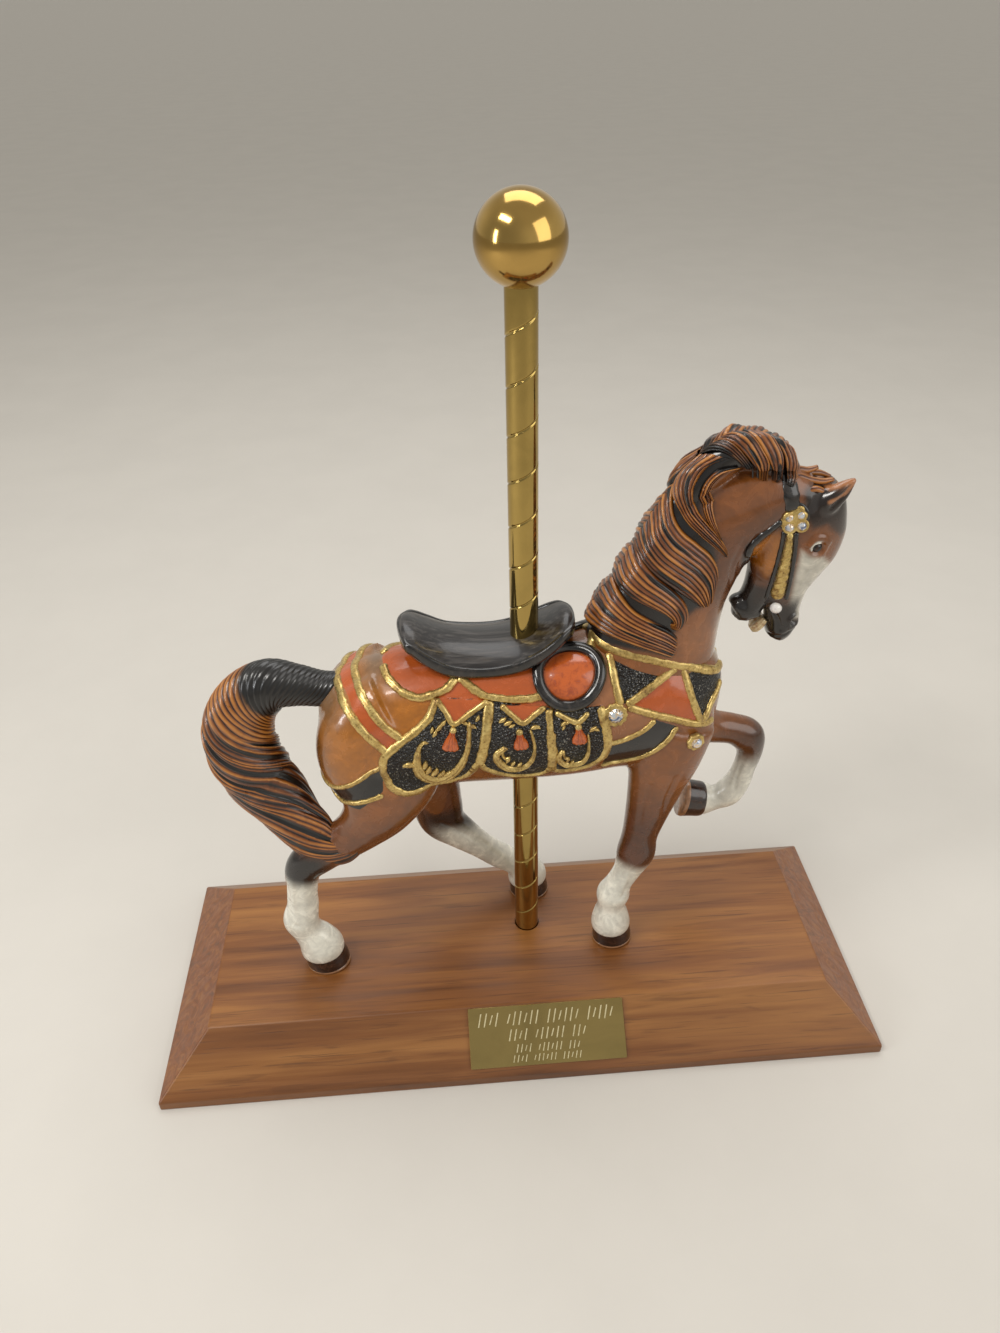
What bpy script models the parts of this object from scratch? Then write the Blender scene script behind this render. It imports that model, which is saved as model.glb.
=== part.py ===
"""Carousel horse ornament: a cast resin horse on a brass pole, on a bevelled walnut board.

Frame: origin at the centre of the board's underside, X along the horse, which faces +X,
Y across, Z up, metres. The dressed side of the horse, the one with stones, faces -Y.

The horse is one casting. It is drawn as a side elevation in millimetres, with its own zero
marks at the pole's axis and at the soles, and scaled as a whole by horse_length. Bores,
seats, gaps, the pole and the board follow their own named sizes.
"""
import math

import bmesh
import bpy
from mathutils import Matrix, Vector
from mathutils.bvhtree import BVHTree

MM = 0.001

# Walnut board
base_length = 279.4 * MM
base_width = 107.95 * MM
base_height = 22.225 * MM
base_bevel_run = 19.05 * MM
base_foot = 4.2 * MM
base_edge_round = 0.5 * MM
socket_depth = 14.0 * MM

# Brass pole and ball
pole_diameter = 9.525 * MM
pole_x = 5.8 * MM
pole_y = 5.2 * MM
ball_diameter = 25.4 * MM
ball_centre_height = 292.5 * MM
ball_bore_past_centre = 2.0 * MM

# Engraved plate on the front bevel
plate_length = 60.3 * MM
plate_height = 22.2 * MM
plate_thickness = 0.8 * MM
plate_x = 9.0 * MM
plate_up_slope = 14.6 * MM

# Horse casting
horse_length = 218.0 * MM
drawn_length = 218.0
drawn_pole_x = 5.8
drawn_sole_z = 22.2
casting_grain = 1.0 * MM
casting_triangles = 6400

# Set stones
large_stone_diameter = 5.4 * MM
chest_stone_diameter = 4.4 * MM
rosette_stone_diameter = 3.0 * MM
pearl_diameter = 4.0 * MM
rosette_pitch_radius = 2.5 * MM
stone_sides = 10

# Running gap between pieces that touch
fit_gap = 0.3 * MM

scale = horse_length / MM / drawn_length

# Low relief on the casting, in drawn millimetres: radius of each round trim and how far its line
# stands off the body
strap_radius = 1.35
strap_lift = 0.1
seam_lift = 1.0
scallop_lift = 0.3
croup_strap_radius = 1.3
medallion_trim_radius = 1.7
medallion_lift = 0.4
lock_lift = 0.9
cloth_thickness = 1.3
# Side distances from which trims are dropped on to the body
reach_neck = 16
reach_medallion = 22
reach_trunk = 24

# Each row of a limb: x, y from the mid plane, z, half width across, half depth in the side view
TRUNK = [(-67.5, 0, 128, 5, 8), (-64.8, 0, 128, 12, 16), (-59, 0, 129, 18, 21.5), (-48, 0, 132, 22, 26),
         (-36, 0, 135, 22.5, 26.5), (-20, 0, 136.5, 23, 27), (0, 0, 137, 23.5, 27.5),
         (20, 0, 137.5, 23.5, 27.5), (36, 0, 139, 22.5, 27.5), (51, 0, 138.5, 20, 28),
         (62, 0, 137.5, 16.5, 25.5), (69.5, 0, 136.5, 12, 20.5), (73.6, 0, 136, 6, 12)]
NECK = [(43, 0, 136, 19, 25), (48, 0, 156, 15.5, 23.5), (51, 0, 171, 13, 21.5), (56, 0, 186, 11.5, 19),
        (63, 0, 199.5, 10.5, 18), (74, 0, 208.5, 10, 15), (85, 0, 214.5, 9, 10.5), (93, 0, 213, 8, 8.5)]
HEAD = [(94, 0, 217, 7, 9), (95.3, 0, 211, 9, 12.6), (95, 0, 204, 9.7, 14.6), (94.3, 0, 197, 9.6, 14.6),
        (92.8, 0, 190, 8.6, 12.9), (91.4, 0, 182, 7, 9.8), (91.2, 0, 173, 6.1, 7.8),
        (91.6, 0, 166, 6.4, 7.1), (91.5, 0, 161, 5.8, 5.6)]
JAW = [(88, 0, 186, 6, 7), (84.5, 0, 178, 5.4, 5.4), (81.5, 0, 172, 5, 4.8), (79.5, 0, 168.5, 4, 3.6)]
EAR = [(98, -4.5, 212, 3.4, 3.4), (101.5, -5.6, 215, 3.2, 3), (104.6, -6.2, 218, 2, 2),
       (106.8, -6.4, 220, 0.9, 0.9)]
FAR_EAR = [(96, 4.5, 210, 3.4, 3.2), (99.5, 5.5, 212, 3, 2.8), (102.5, 6, 213.6, 1.9, 1.8),
           (104.8, 6, 215, 0.9, 0.9)]
NEAR_FORE = [(58, -12, 134, 8, 14), (55, -12, 119, 8.2, 13), (52.5, -11.5, 105, 7.5, 10.4),
             (50.3, -11, 92, 6.8, 8.2), (48.2, -10.7, 79, 6, 7), (47.2, -10.7, 69, 6.3, 7.3),
             (44.8, -10.7, 61, 5.2, 5.8), (41.4, -10.7, 54, 5, 5.6), (39.6, -10.7, 48.5, 6, 6.7),
             (39.3, -10.7, 41, 5.5, 6), (39.2, -10.7, 36, 6.6, 7.3), (39.4, -10.7, 28, 7, 7.7),
             (39.5, -10.7, 20.5, 7.3, 8)]
NEAR_HIND = [(-46, -11, 134, 9, 18), (-44.5, -12.3, 119, 9.8, 19), (-48.7, -12.9, 105.5, 9.5, 14),
             (-55.5, -13, 96, 8, 9.6), (-64.5, -12.8, 88.5, 6.8, 8), (-73, -12.7, 83, 6.5, 8),
             (-79.5, -12.7, 76, 6, 6.8), (-81.5, -12.7, 66, 5.2, 5.8), (-82.3, -12.7, 56, 5, 5.6),
             (-85, -12.7, 46.5, 6.4, 7.2), (-82.5, -12.7, 40, 5.8, 6.4), (-79.5, -12.7, 36, 7, 8),
             (-77.8, -12.7, 28, 7.6, 8.5), (-76.8, -12.7, 20.5, 7.8, 8.7)]
FAR_HIND = [(-46, 9, 134, 9, 16), (-42, 11, 120, 9.5, 15), (-35, 13, 105, 9, 13.5), (-30.5, 14.5, 90, 8, 11.5),
            (-28.5, 15, 79, 7, 10.2), (-26.6, 15.5, 69, 6.4, 9.3), (-19.6, 16.3, 60.2, 5.2, 7.6),
            (-11.3, 17, 51.4, 4.8, 6.2), (-4, 17.4, 44.6, 5, 6), (2.4, 17.8, 39.8, 5.6, 6.2),
            (6.8, 17.8, 35.5, 6, 6.8), (7.8, 17.8, 29, 6.9, 8), (8, 17.8, 20.5, 7.2, 8.4)]
FAR_FORE = [(60, 9, 128, 8, 13), (68, 11, 117.5, 7.5, 10), (78, 12.5, 112, 6.2, 7), (87, 13, 109.5, 5.8, 6.2),
            (93.5, 13, 106, 6, 6.8), (95.5, 13, 98, 4.8, 5.4), (94.3, 13, 89.5, 4.4, 4.7),
            (92.5, 13, 82, 4.6, 5), (90, 13.2, 75.5, 5.6, 6.2), (84, 13.6, 71.8, 5.2, 5.8),
            (79, 13.8, 72, 6.2, 7.3), (70, 14, 74.2, 6.8, 8.4)]
TAIL = [(-55, 0, 149, 6.3, 6.5), (-64, 0, 149.8, 6.2, 6.6), (-73, 0, 152, 6.8, 7.8), (-81.5, 0, 152.6, 8, 9.6),
        (-89.6, 0, 147, 8.6, 10.8), (-94.4, -0.5, 138, 9, 12), (-95, -1, 127, 9, 12.8),
        (-91.5, -2, 115.5, 9, 13), (-84.8, -4.4, 104.5, 8.4, 11.6), (-79, -8, 97, 7.4, 10),
        (-73, -12, 91, 6.4, 9.2), (-67.5, -15.5, 88, 4.8, 8.2), (-62, -17.8, 86.5, 3.2, 6.4),
        (-57.5, -19, 86.5, 1.6, 3.6)]
# Saddle: x, half width, height at its edge, height on the middle line
SADDLE = [(-35.4, 4, 172.5, 174), (-34, 8, 173, 175.5), (-31, 11, 171.5, 174.5), (-27, 12.6, 168.5, 172),
          (-20, 13.6, 164.5, 169), (-10, 14, 163, 167.3), (0, 14, 164, 167.5), (8, 13.4, 167, 169.5),
          (14, 12, 170.5, 173), (18, 10, 173, 175.5), (20.5, 7, 173, 175.8), (22, 3, 171.5, 173)]
# Mane locks in the side view: radius, then points x, z
MANE = [(3.4, [(28, 173), (33, 174.5), (40, 170), (48, 166)]),
        (3.2, [(29, 177), (33, 178.5), (40, 174), (48, 169.5), (55, 166)]),
        (3.2, [(31, 181), (35, 182), (40, 178), (47, 173.5), (55, 170)]),
        (3.2, [(34, 186), (37.5, 186), (41, 182.5), (46, 178.5), (52, 175.5)]),
        (3.4, [(38, 191), (40, 188.5), (43.5, 185.5), (49, 182.5), (54.5, 178.5), (53, 175.5)]),
        (3.2, [(40, 195), (42.5, 191.5), (46, 189), (51, 186), (56.5, 181.5)]),
        (3.2, [(42.5, 198.5), (45, 195), (49, 192.5), (54, 189), (59, 184)]),
        (3.4, [(46.5, 204), (47, 199.5), (50, 197), (55, 193.5), (60.5, 188), (63, 182)]),
        (3.2, [(48.5, 208), (49, 204), (52, 201), (57, 198), (62.5, 193), (65, 186)]),
        (3.2, [(51, 211.5), (51.5, 207.5), (54.5, 204.5), (60, 201.5), (66, 196.5), (67.5, 190)]),
        (3.4, [(56, 219), (55, 213), (57, 208.5), (62, 205.5), (67.5, 200), (68.5, 194)]),
        (3.2, [(60, 223), (58.5, 217), (60, 211.5), (65, 207.5), (69, 201)]),
        (3.2, [(63.5, 228), (61.5, 221.5), (62.5, 215), (66, 210)]),
        (3.2, [(67, 231), (67.5, 224.5), (70, 219)]),
        (3.2, [(71, 234), (74, 228), (75.5, 220.5)]),
        (3.2, [(76, 234), (79.5, 228), (80, 220.5)]),
        (3.2, [(82, 232.5), (85, 226), (84.5, 219.5)]),
        (3, [(87.5, 228), (90, 222.5), (88.5, 216.5)])]
CREST = [(31, 0, 170, 4.5, 5), (37.5, 0, 181, 4.8, 5.5), (43, 0, 189.5, 5, 5.5), (47.5, 0, 197.5, 5.2, 5.5),
         (52.5, 0, 207, 5.4, 5.8), (58.5, 0, 217, 5.6, 6), (65, 0, 225, 5.6, 6),
         (72, 0, 229.4, 5.6, 5.8), (80, 0, 227.6, 5.4, 5.4), (86, 0, 223.4, 5, 5),
         (88.6, 0, 217.5, 4.4, 4.4)]
FORELOCK = [(88, 0, 218, 4, 3), (95, 0, 218.2, 3.6, 2.4), (100, 0, 216.5, 3.2, 2.2), (104, 0, 213.5, 2.4, 1.8)]
# Straps in the side view: x, z on the near side, repeated on the far side
COLLAR = [(27, 168.5), (32, 166.5), (40, 165), (46, 163.5), (55, 160.5), (64, 157), (73, 153)]
CRUPPER_TOP = [(-66, 117.5), (-59, 123), (-51, 128), (-44, 133)]
CRUPPER_LOW = [(-63, 110), (-55, 110.5), (-45, 119)]
GIRTH_TOP = [(34, 137), (48, 144)]
GIRTH_LOW = [(32, 126), (46, 127), (56, 139), (72, 136)]
COLLAR_BRACES = [[(32, 165), (36, 152)], [(38, 151), (55, 160)], [(38, 151), (64, 140)],
                 [(58, 159), (64, 140)], [(64, 140), (73, 148)]]
SKIRT = [(-25, 156), (-28, 150), (-34, 145), (-40, 141), (-44, 137), (-44.5, 130), (-42, 119), (-37, 111),
         (-29, 109), (-22, 110.5), (-16, 121), (-12, 130), (-7, 124), (-1, 119), (7, 116.5), (12, 122),
         (14, 124), (19, 122.5), (26, 124), (31, 129), (32, 138), (30, 146), (29, 153)]
# Straps that cross the back: x, y from the mid plane, z
CROUP_REAR = [(-42, -23, 138), (-48, -20, 145), (-53, -14, 150), (-56, -4, 153)]
CROUP_FRONT = [(-37, -23, 142), (-43, -20, 148), (-47, -15, 153), (-51, -6, 156)]
SCALLOPS = [[(-42, 0, 161), (-41.5, -5, 160), (-40.5, -10, 159), (-36, -15.5, 157), (-31, -16.5, 156),
             (-26, -16.5, 157), (-21, -15.5, 158), (-18, -13.5, 161)],
            [(-16, -13.5, 161), (-12, -16.5, 158), (-8, -18, 156), (-2, -19, 155), (8, -19, 155)]]
SKIRT_SEAMS = [[(-9, 150), (-12, 130)], [(12, 150), (12, 124)]]
# Middle x, z of the medallion behind the collar, and its half width and half height
MEDALLION = (19, 157.5, 10.6, 8.6)
# Stone seats on the near side: x, z
LARGE_STONE_SEAT = (34, 147.4)
CHEST_STONE_SEAT = (63, 131.5)
ROSETTE_SEAT = (89.5, 209)
PEARL_SEAT = (89, 175.6)


def at(x, y, z):
    """Turn a drawn point into the frame, scaled with the casting."""
    return Vector((pole_x + (x - drawn_pole_x) * MM * scale,
                   pole_y + y * MM * scale,
                   base_height + fit_gap + (z - drawn_sole_z) * MM * scale))


def make_collection(name):
    coll = bpy.data.collections.new(name)
    bpy.context.scene.collection.children.link(coll)
    return coll


def make_object(name, bm, coll, smooth=True):
    mesh = bpy.data.meshes.new(name)
    bmesh.ops.recalc_face_normals(bm, faces=bm.faces)
    bm.to_mesh(mesh)
    bm.free()
    for poly in mesh.polygons:
        poly.use_smooth = smooth
    obj = bpy.data.objects.new(name, mesh)
    coll.objects.link(obj)
    return obj


def make_material(name, colour, metallic, roughness, coat=0.0):
    mat = bpy.data.materials.new(name)
    mat.use_nodes = True
    shader = mat.node_tree.nodes["Principled BSDF"]
    shader.inputs["Base Color"].default_value = (*colour, 1.0)
    shader.inputs["Metallic"].default_value = metallic
    shader.inputs["Roughness"].default_value = roughness
    shader.inputs["Coat Weight"].default_value = coat
    return mat


def spline(rows, steps):
    """Rows joined by a smooth curve that passes through each of them."""
    out = []
    last = len(rows) - 1
    for i in range(last):
        p0 = rows[max(i - 1, 0)]
        p1 = rows[i]
        p2 = rows[i + 1]
        p3 = rows[min(i + 2, last)]
        for k in range(steps):
            t = k / steps
            out.append(tuple(
                0.5 * (2 * b + (c - a) * t + (2 * a - 5 * b + 4 * c - d) * t * t
                       + (3 * b - 3 * c + d - a) * t * t * t)
                for a, b, c, d in zip(p0, p1, p2, p3)))
    out.append(tuple(rows[last]))
    return out


def skin_rings(bm, rings):
    """Join rings of points into a closed tube with flat ends."""
    made = [[bm.verts.new(p) for p in ring] for ring in rings]
    count = len(made[0])
    for a, b in zip(made, made[1:]):
        for j in range(count):
            k = (j + 1) % count
            bm.faces.new((a[j], a[k], b[k], b[j]))
    bm.faces.new(made[0])
    bm.faces.new(list(reversed(made[-1])))


def limb(bm, rows, sides=16, steps=4, flip=1, ridges=0, ridge_height=0.0, twist=None):
    """Loft ellipses along a limb drawn in the side view. Ridges wind round it when asked."""
    rows = spline(rows, steps)
    rings = []
    centres = [at(r[0], r[1] * flip, r[2]) for r in rows]
    last = len(rows) - 1
    for i, row in enumerate(rows):
        along = (centres[min(i + 1, last)] - centres[max(i - 1, 0)]).normalized()
        across = Vector((0, 1, 0))
        across = (across - along * across.dot(along)).normalized()
        up = along.cross(across)
        turn = twist(i / last) if twist else 0.0
        ring = []
        for j in range(sides):
            angle = 2 * math.pi * j / sides
            swell = 1.0
            if ridges:
                swell += ridge_height * (abs(math.cos(0.5 * ridges * (angle - turn))) - 0.6)
            ring.append(centres[i] + (across * math.cos(angle) * row[3] * swell
                                      + up * math.sin(angle) * row[4] * swell) * MM * scale)
        rings.append(ring)
    skin_rings(bm, rings)


def saddle(bm):
    """The seat, hollow along its length and dropping to its edges."""
    rings = []
    for x, half, edge, middle in spline(SADDLE, 3):
        ring = []
        for k in range(9):
            t = k / 4 - 1
            ring.append(at(x, half * t, middle - (middle - edge) * t * t))
        ring.append(at(x, half, 150))
        ring.append(at(x, -half, 150))
        rings.append(ring)
    skin_rings(bm, rings)


def on_body(tree, x, y, z):
    """The body's point nearest to a drawn one, and the way out of it."""
    point, normal, _, _ = tree.find_nearest(at(x, y, z))
    return point, normal


def lay(bm_target, tree, points, half_width, lift, taper=0.0, steps=4):
    """Lay a strand or a strap along points on the body, as a round bevelled curve."""
    curve = bpy.data.curves.new("strand", "CURVE")
    curve.dimensions = "3D"
    curve.bevel_depth = half_width * MM * scale
    curve.bevel_resolution = 2
    curve.use_fill_caps = True
    rows = spline(points, steps)
    line = curve.splines.new("POLY")
    line.points.add(len(rows) - 1)
    last = len(rows) - 1
    for i, row in enumerate(rows):
        point, normal = on_body(tree, *row)
        line.points[i].co = (*(point + normal * lift * MM * scale), 1.0)
        line.points[i].radius = 1.0 - taper * abs(2 * i / last - 1) ** 3
    strand = bpy.data.objects.new("strand", curve)
    bpy.context.scene.collection.objects.link(strand)
    graph = bpy.context.evaluated_depsgraph_get()
    mesh = bpy.data.meshes.new_from_object(strand.evaluated_get(graph))
    bm = bmesh.new()
    bm.from_mesh(mesh)
    bmesh.ops.remove_doubles(bm, verts=bm.verts, dist=1e-6)
    bmesh.ops.recalc_face_normals(bm, faces=bm.faces)
    bm.to_mesh(mesh)
    bm.free()
    bm_target.from_mesh(mesh)
    bpy.data.objects.remove(strand)
    bpy.data.curves.remove(curve)
    bpy.data.meshes.remove(mesh)


def tree_of(*tables):
    bm = bmesh.new()
    for rows in tables:
        limb(bm, rows, sides=24, steps=5)
    bmesh.ops.recalc_face_normals(bm, faces=bm.faces)
    tree = BVHTree.FromBMesh(bm)
    bm.free()
    return tree


def settle(obj):
    """Replace an object's mesh by what its modifiers make."""
    graph = bpy.context.evaluated_depsgraph_get()
    mesh = bpy.data.meshes.new_from_object(obj.evaluated_get(graph))
    old = obj.data
    obj.modifiers.clear()
    obj.data = mesh
    bpy.data.meshes.remove(old)


def keep_largest_shell(obj):
    """Drop the closed shells that lie inside the casting or apart from it."""
    bm = bmesh.new()
    bm.from_mesh(obj.data)
    left = set(bm.verts)
    shells = []
    while left:
        stack = [left.pop()]
        shell = list(stack)
        while stack:
            for edge in stack.pop().link_edges:
                for vert in edge.verts:
                    if vert in left:
                        left.remove(vert)
                        stack.append(vert)
                        shell.append(vert)
        shells.append(shell)
    shells.sort(key=len, reverse=True)
    for shell in shells[1:]:
        bmesh.ops.delete(bm, geom=shell, context="VERTS")
    bm.to_mesh(obj.data)
    bm.free()


def skirt(bm_target, coll):
    """The saddle cloth's three panels: the trunk grown a little, kept inside their outline."""
    bm = bmesh.new()
    grown = [(x, y, z, a + cloth_thickness, b + cloth_thickness) for x, y, z, a, b in TRUNK]
    limb(bm, grown, sides=48, steps=6)
    body = make_object("grown_trunk", bm, coll)
    curve = bpy.data.curves.new("skirt_outline", "CURVE")
    curve.dimensions = "2D"
    curve.fill_mode = "BOTH"
    curve.extrude = 40 * MM * scale
    line = curve.splines.new("POLY")
    line.points.add(len(SKIRT) - 1)
    line.use_cyclic_u = True
    for knot, (x, z) in zip(line.points, SKIRT):
        spot = at(x, 0, z)
        knot.co = (spot.x, spot.z, 0, 1)
    flat = bpy.data.objects.new("skirt_outline_curve", curve)
    flat.rotation_euler = (math.radians(90), 0, 0)
    flat.location = (0, pole_y, 0)
    coll.objects.link(flat)
    bpy.context.view_layer.update()
    graph = bpy.context.evaluated_depsgraph_get()
    mesh = bpy.data.meshes.new_from_object(flat.evaluated_get(graph))
    bm = bmesh.new()
    bm.from_mesh(mesh)
    bmesh.ops.remove_doubles(bm, verts=bm.verts, dist=1e-6)
    outline = make_object("skirt_outline", bm, coll)
    outline.matrix_world = flat.matrix_world
    bpy.data.objects.remove(flat)
    cut = body.modifiers.new("inside outline", "BOOLEAN")
    cut.operation = "INTERSECT"
    cut.solver = "EXACT"
    cut.object = outline
    settle(body)
    bm_target.from_mesh(body.data)
    bpy.data.objects.remove(outline)
    bpy.data.objects.remove(body)


def build_horse(coll):
    """The casting: its limbs, hair and trappings drawn as overlapping solids, then cast in one."""
    bm = bmesh.new()
    limb(bm, TRUNK, sides=32)
    limb(bm, NECK, sides=28)
    limb(bm, HEAD, sides=20)
    limb(bm, JAW, sides=12)
    limb(bm, EAR, sides=8)
    limb(bm, FAR_EAR, sides=8)
    for rows in (NEAR_FORE, NEAR_HIND, FAR_HIND, FAR_FORE):
        limb(bm, rows, sides=18)
    limb(bm, TAIL, sides=72, steps=6, ridges=9, ridge_height=0.16,
         twist=lambda share: 9.0 * math.sqrt(share))
    limb(bm, CREST, sides=12)
    limb(bm, FORELOCK, sides=10)
    saddle(bm)
    skirt(bm, coll)
    neck = tree_of(NECK, CREST)
    trunk = tree_of(TRUNK, NECK)
    for side in (-1, 1):
        for radius, points in MANE:
            lay(bm, neck, [(x, side * reach_neck, z) for x, z in points], radius, lock_lift, taper=0.5)
        for points in [COLLAR, CRUPPER_TOP, CRUPPER_LOW, GIRTH_TOP, GIRTH_LOW] + COLLAR_BRACES:
            line = [(x, side * reach_trunk, z) for x, z in points]
            lay(bm, trunk, line, strap_radius, strap_lift, steps=5)
        for points in SKIRT_SEAMS:
            line = [(x, side * reach_trunk, z) for x, z in points]
            lay(bm, trunk, line, strap_radius, seam_lift, steps=5)
        for points in SCALLOPS:
            lay(bm, trunk, [(x, -side * y, z) for x, y, z in points], strap_radius, scallop_lift)
        middle_x, middle_z, half_wide, half_high = MEDALLION
        ring = [(middle_x + half_wide * math.cos(a), side * reach_medallion, middle_z + half_high * math.sin(a))
                for a in [math.pi * k / 8 for k in range(17)]]
        lay(bm, trunk, ring, medallion_trim_radius, medallion_lift, steps=2)
    for rows in (CROUP_REAR, CROUP_FRONT):
        over = rows + [(rows[-1][0] - 0.5, 0, rows[-1][2] + 1)] + [(x, -y, z) for x, y, z in reversed(rows)]
        lay(bm, trunk, over, croup_strap_radius, strap_lift)
    horse = make_object("horse", bm, coll)

    cast = horse.modifiers.new("cast in one", "REMESH")
    cast.mode = "VOXEL"
    cast.voxel_size = casting_grain * scale
    cast.use_smooth_shade = True
    soft = horse.modifiers.new("soften", "SMOOTH")
    soft.factor = 0.5
    soft.iterations = 3
    settle(horse)
    keep_largest_shell(horse)
    lighten = horse.modifiers.new("fewer faces", "DECIMATE")
    lighten.ratio = casting_triangles / (2.0 * len(horse.data.polygons))
    lighten.use_collapse_triangulate = True
    settle(horse)
    return horse


def cut_with(obj, cutter):
    cut = obj.modifiers.new("cut " + cutter.name, "BOOLEAN")
    cut.operation = "DIFFERENCE"
    cut.solver = "EXACT"
    cut.object = cutter


def cylinder(name, coll, radius, bottom, top, x, y, sides=48):
    """A round bar along Z."""
    bm = bmesh.new()
    bmesh.ops.create_cone(bm, cap_ends=True, segments=sides, radius1=radius, radius2=radius, depth=top - bottom)
    bar = make_object(name, bm, coll)
    bar.location = (x, y, (top + bottom) / 2)
    return bar


def block(name, coll, size, middle):
    bm = bmesh.new()
    bmesh.ops.create_cube(bm, size=1.0, matrix=Matrix.Diagonal((*size, 1.0)))
    box = make_object(name, bm, coll, smooth=False)
    box.location = middle
    return box


def sphere(name, coll, diameter, centre, sides=32, rings=16):
    bm = bmesh.new()
    bmesh.ops.create_uvsphere(bm, u_segments=sides, v_segments=rings, radius=diameter / 2)
    ball = make_object(name, bm, coll)
    ball.location = centre
    return ball


def build_board(coll, cutters):
    """A block as high as the foot, its top drawn up and in to make the wide bevels."""
    board = block("board", coll, (base_length, base_width, base_foot), (0, 0, base_foot / 2))
    bm = bmesh.new()
    bm.from_mesh(board.data)
    top = [face for face in bm.faces if face.normal.z > 0.5]
    grown = bmesh.ops.extrude_face_region(bm, geom=top)
    for vert in grown["geom"]:
        if isinstance(vert, bmesh.types.BMVert):
            vert.co.x -= math.copysign(base_bevel_run, vert.co.x)
            vert.co.y -= math.copysign(base_bevel_run, vert.co.y)
            vert.co.z += base_height - base_foot
    bmesh.ops.delete(bm, geom=top, context="FACES_ONLY")
    bm.to_mesh(board.data)
    bm.free()
    soft = board.modifiers.new("eased edges", "BEVEL")
    soft.width = base_edge_round
    soft.segments = 2
    soft.limit_method = "ANGLE"
    socket = cylinder("board_socket", cutters, pole_diameter / 2 + fit_gap,
                      base_height - socket_depth, base_height + 5 * MM, pole_x, pole_y)
    cut_with(board, socket)
    return board


def build_pole_and_ball(coll, cutters):
    centre = Vector((pole_x, pole_y, ball_centre_height))
    top = ball_centre_height + ball_bore_past_centre
    bottom = base_height - socket_depth + fit_gap
    pole = cylinder("pole", coll, pole_diameter / 2, bottom, top, pole_x, pole_y)
    ends = pole.modifiers.new("chamfered ends", "BEVEL")
    ends.width = 0.4 * MM
    ends.segments = 1
    ends.limit_method = "ANGLE"
    ends.angle_limit = math.radians(60)
    ball = sphere("ball", coll, ball_diameter, centre)
    bore = cylinder("ball_bore", cutters, pole_diameter / 2 + fit_gap,
                    ball_centre_height - ball_diameter, top + fit_gap, pole_x, pole_y)
    cut_with(ball, bore)
    return pole, ball


def build_plate(coll):
    """The plate lies on the front bevel, its long side along X."""
    lean = math.atan2(base_height - base_foot, base_bevel_run)
    slope = Vector((0, math.cos(lean), math.sin(lean)))
    out = Vector((0, -math.sin(lean), math.cos(lean)))
    foot = Vector((plate_x, -base_width / 2, base_foot))
    middle = foot + slope * plate_up_slope + out * (fit_gap + plate_thickness / 2)
    plate = block("nameplate", coll, (plate_length, plate_height, plate_thickness), middle)
    plate.rotation_euler = (lean, 0, 0)
    soft = plate.modifiers.new("eased edges", "BEVEL")
    soft.width = 0.12 * MM
    soft.segments = 1
    return plate


def frame_on(point, normal):
    """A turn that puts Z along the way out of the casting at a point."""
    turn = Vector((0, 0, 1)).rotation_difference(normal).to_matrix().to_4x4()
    return Matrix.Translation(point) @ turn


def turned(name, coll, profile, sides):
    """A profile of radius and height, from its top down, turned about Z."""
    mesh = bpy.data.meshes.new(name)
    verts = [(r, 0.0, h) for r, h in profile]
    mesh.from_pydata(verts, [(i, i + 1) for i in range(len(verts) - 1)], [])
    obj = bpy.data.objects.new(name, mesh)
    coll.objects.link(obj)
    lathe = obj.modifiers.new("turned", "SCREW")
    lathe.steps = sides
    lathe.render_steps = sides
    lathe.use_merge_vertices = True
    lathe.merge_threshold = 0.00001
    lathe.use_smooth_shade = False
    return obj


def near_side(tree, x, z):
    """The casting's near side where a drawn point meets it along Y."""
    start = at(x, 0, z)
    start.y = pole_y - horse_length
    point = tree.ray_cast(start, Vector((0, 1, 0)))[0]
    if point is None:
        point = tree.find_nearest(start)[0]
    return point


def build_stone(name, coll, cutters, horse, tree, seat_at, diameter, offset=(0.0, 0.0)):
    """A cut stone with a flat back, seated in the casting's near side."""
    point = near_side(tree, *seat_at)
    # The way out is taken over a patch as wide as the stone, so one facet doesn't tip it
    total = Vector((0, 0, 0))
    for k in range(12):
        turn = 2 * math.pi * k / 12
        probe = point + Vector((math.cos(turn), 0, math.sin(turn))) * diameter * 0.6
        total += tree.find_nearest(probe)[1]
    place = frame_on(point, total.normalized()) @ Matrix.Translation((offset[0], offset[1], 0))
    radius = diameter / 2
    back = 0.30 * radius
    profile = [(0.0, 0.62 * radius), (0.5 * radius, 0.62 * radius), (0.94 * radius, 0.16 * radius),
               (radius, 0.0), (0.72 * radius, -back), (0.0, -back)]
    stone = turned(name, coll, profile, stone_sides)
    stone.matrix_world = place
    deep = back + fit_gap + 4 * radius
    seat = cylinder(name + "_seat", cutters, radius + fit_gap, -deep / 2, deep / 2, 0, 0, sides=16)
    seat.matrix_world = place @ Matrix.Translation((0, 0, deep / 2 - back - fit_gap))
    cut_with(horse, seat)
    return stone


def build_pearl(name, coll, cutters, horse, tree, seat_at, diameter):
    """A round pearl, half sunk in the casting's near side."""
    point = near_side(tree, *seat_at)
    pearl = sphere(name, coll, diameter, point, sides=14, rings=8)
    cut_with(horse, sphere(name + "_seat", cutters, diameter + 2 * fit_gap, point, sides=20, rings=12))
    return pearl


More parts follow.
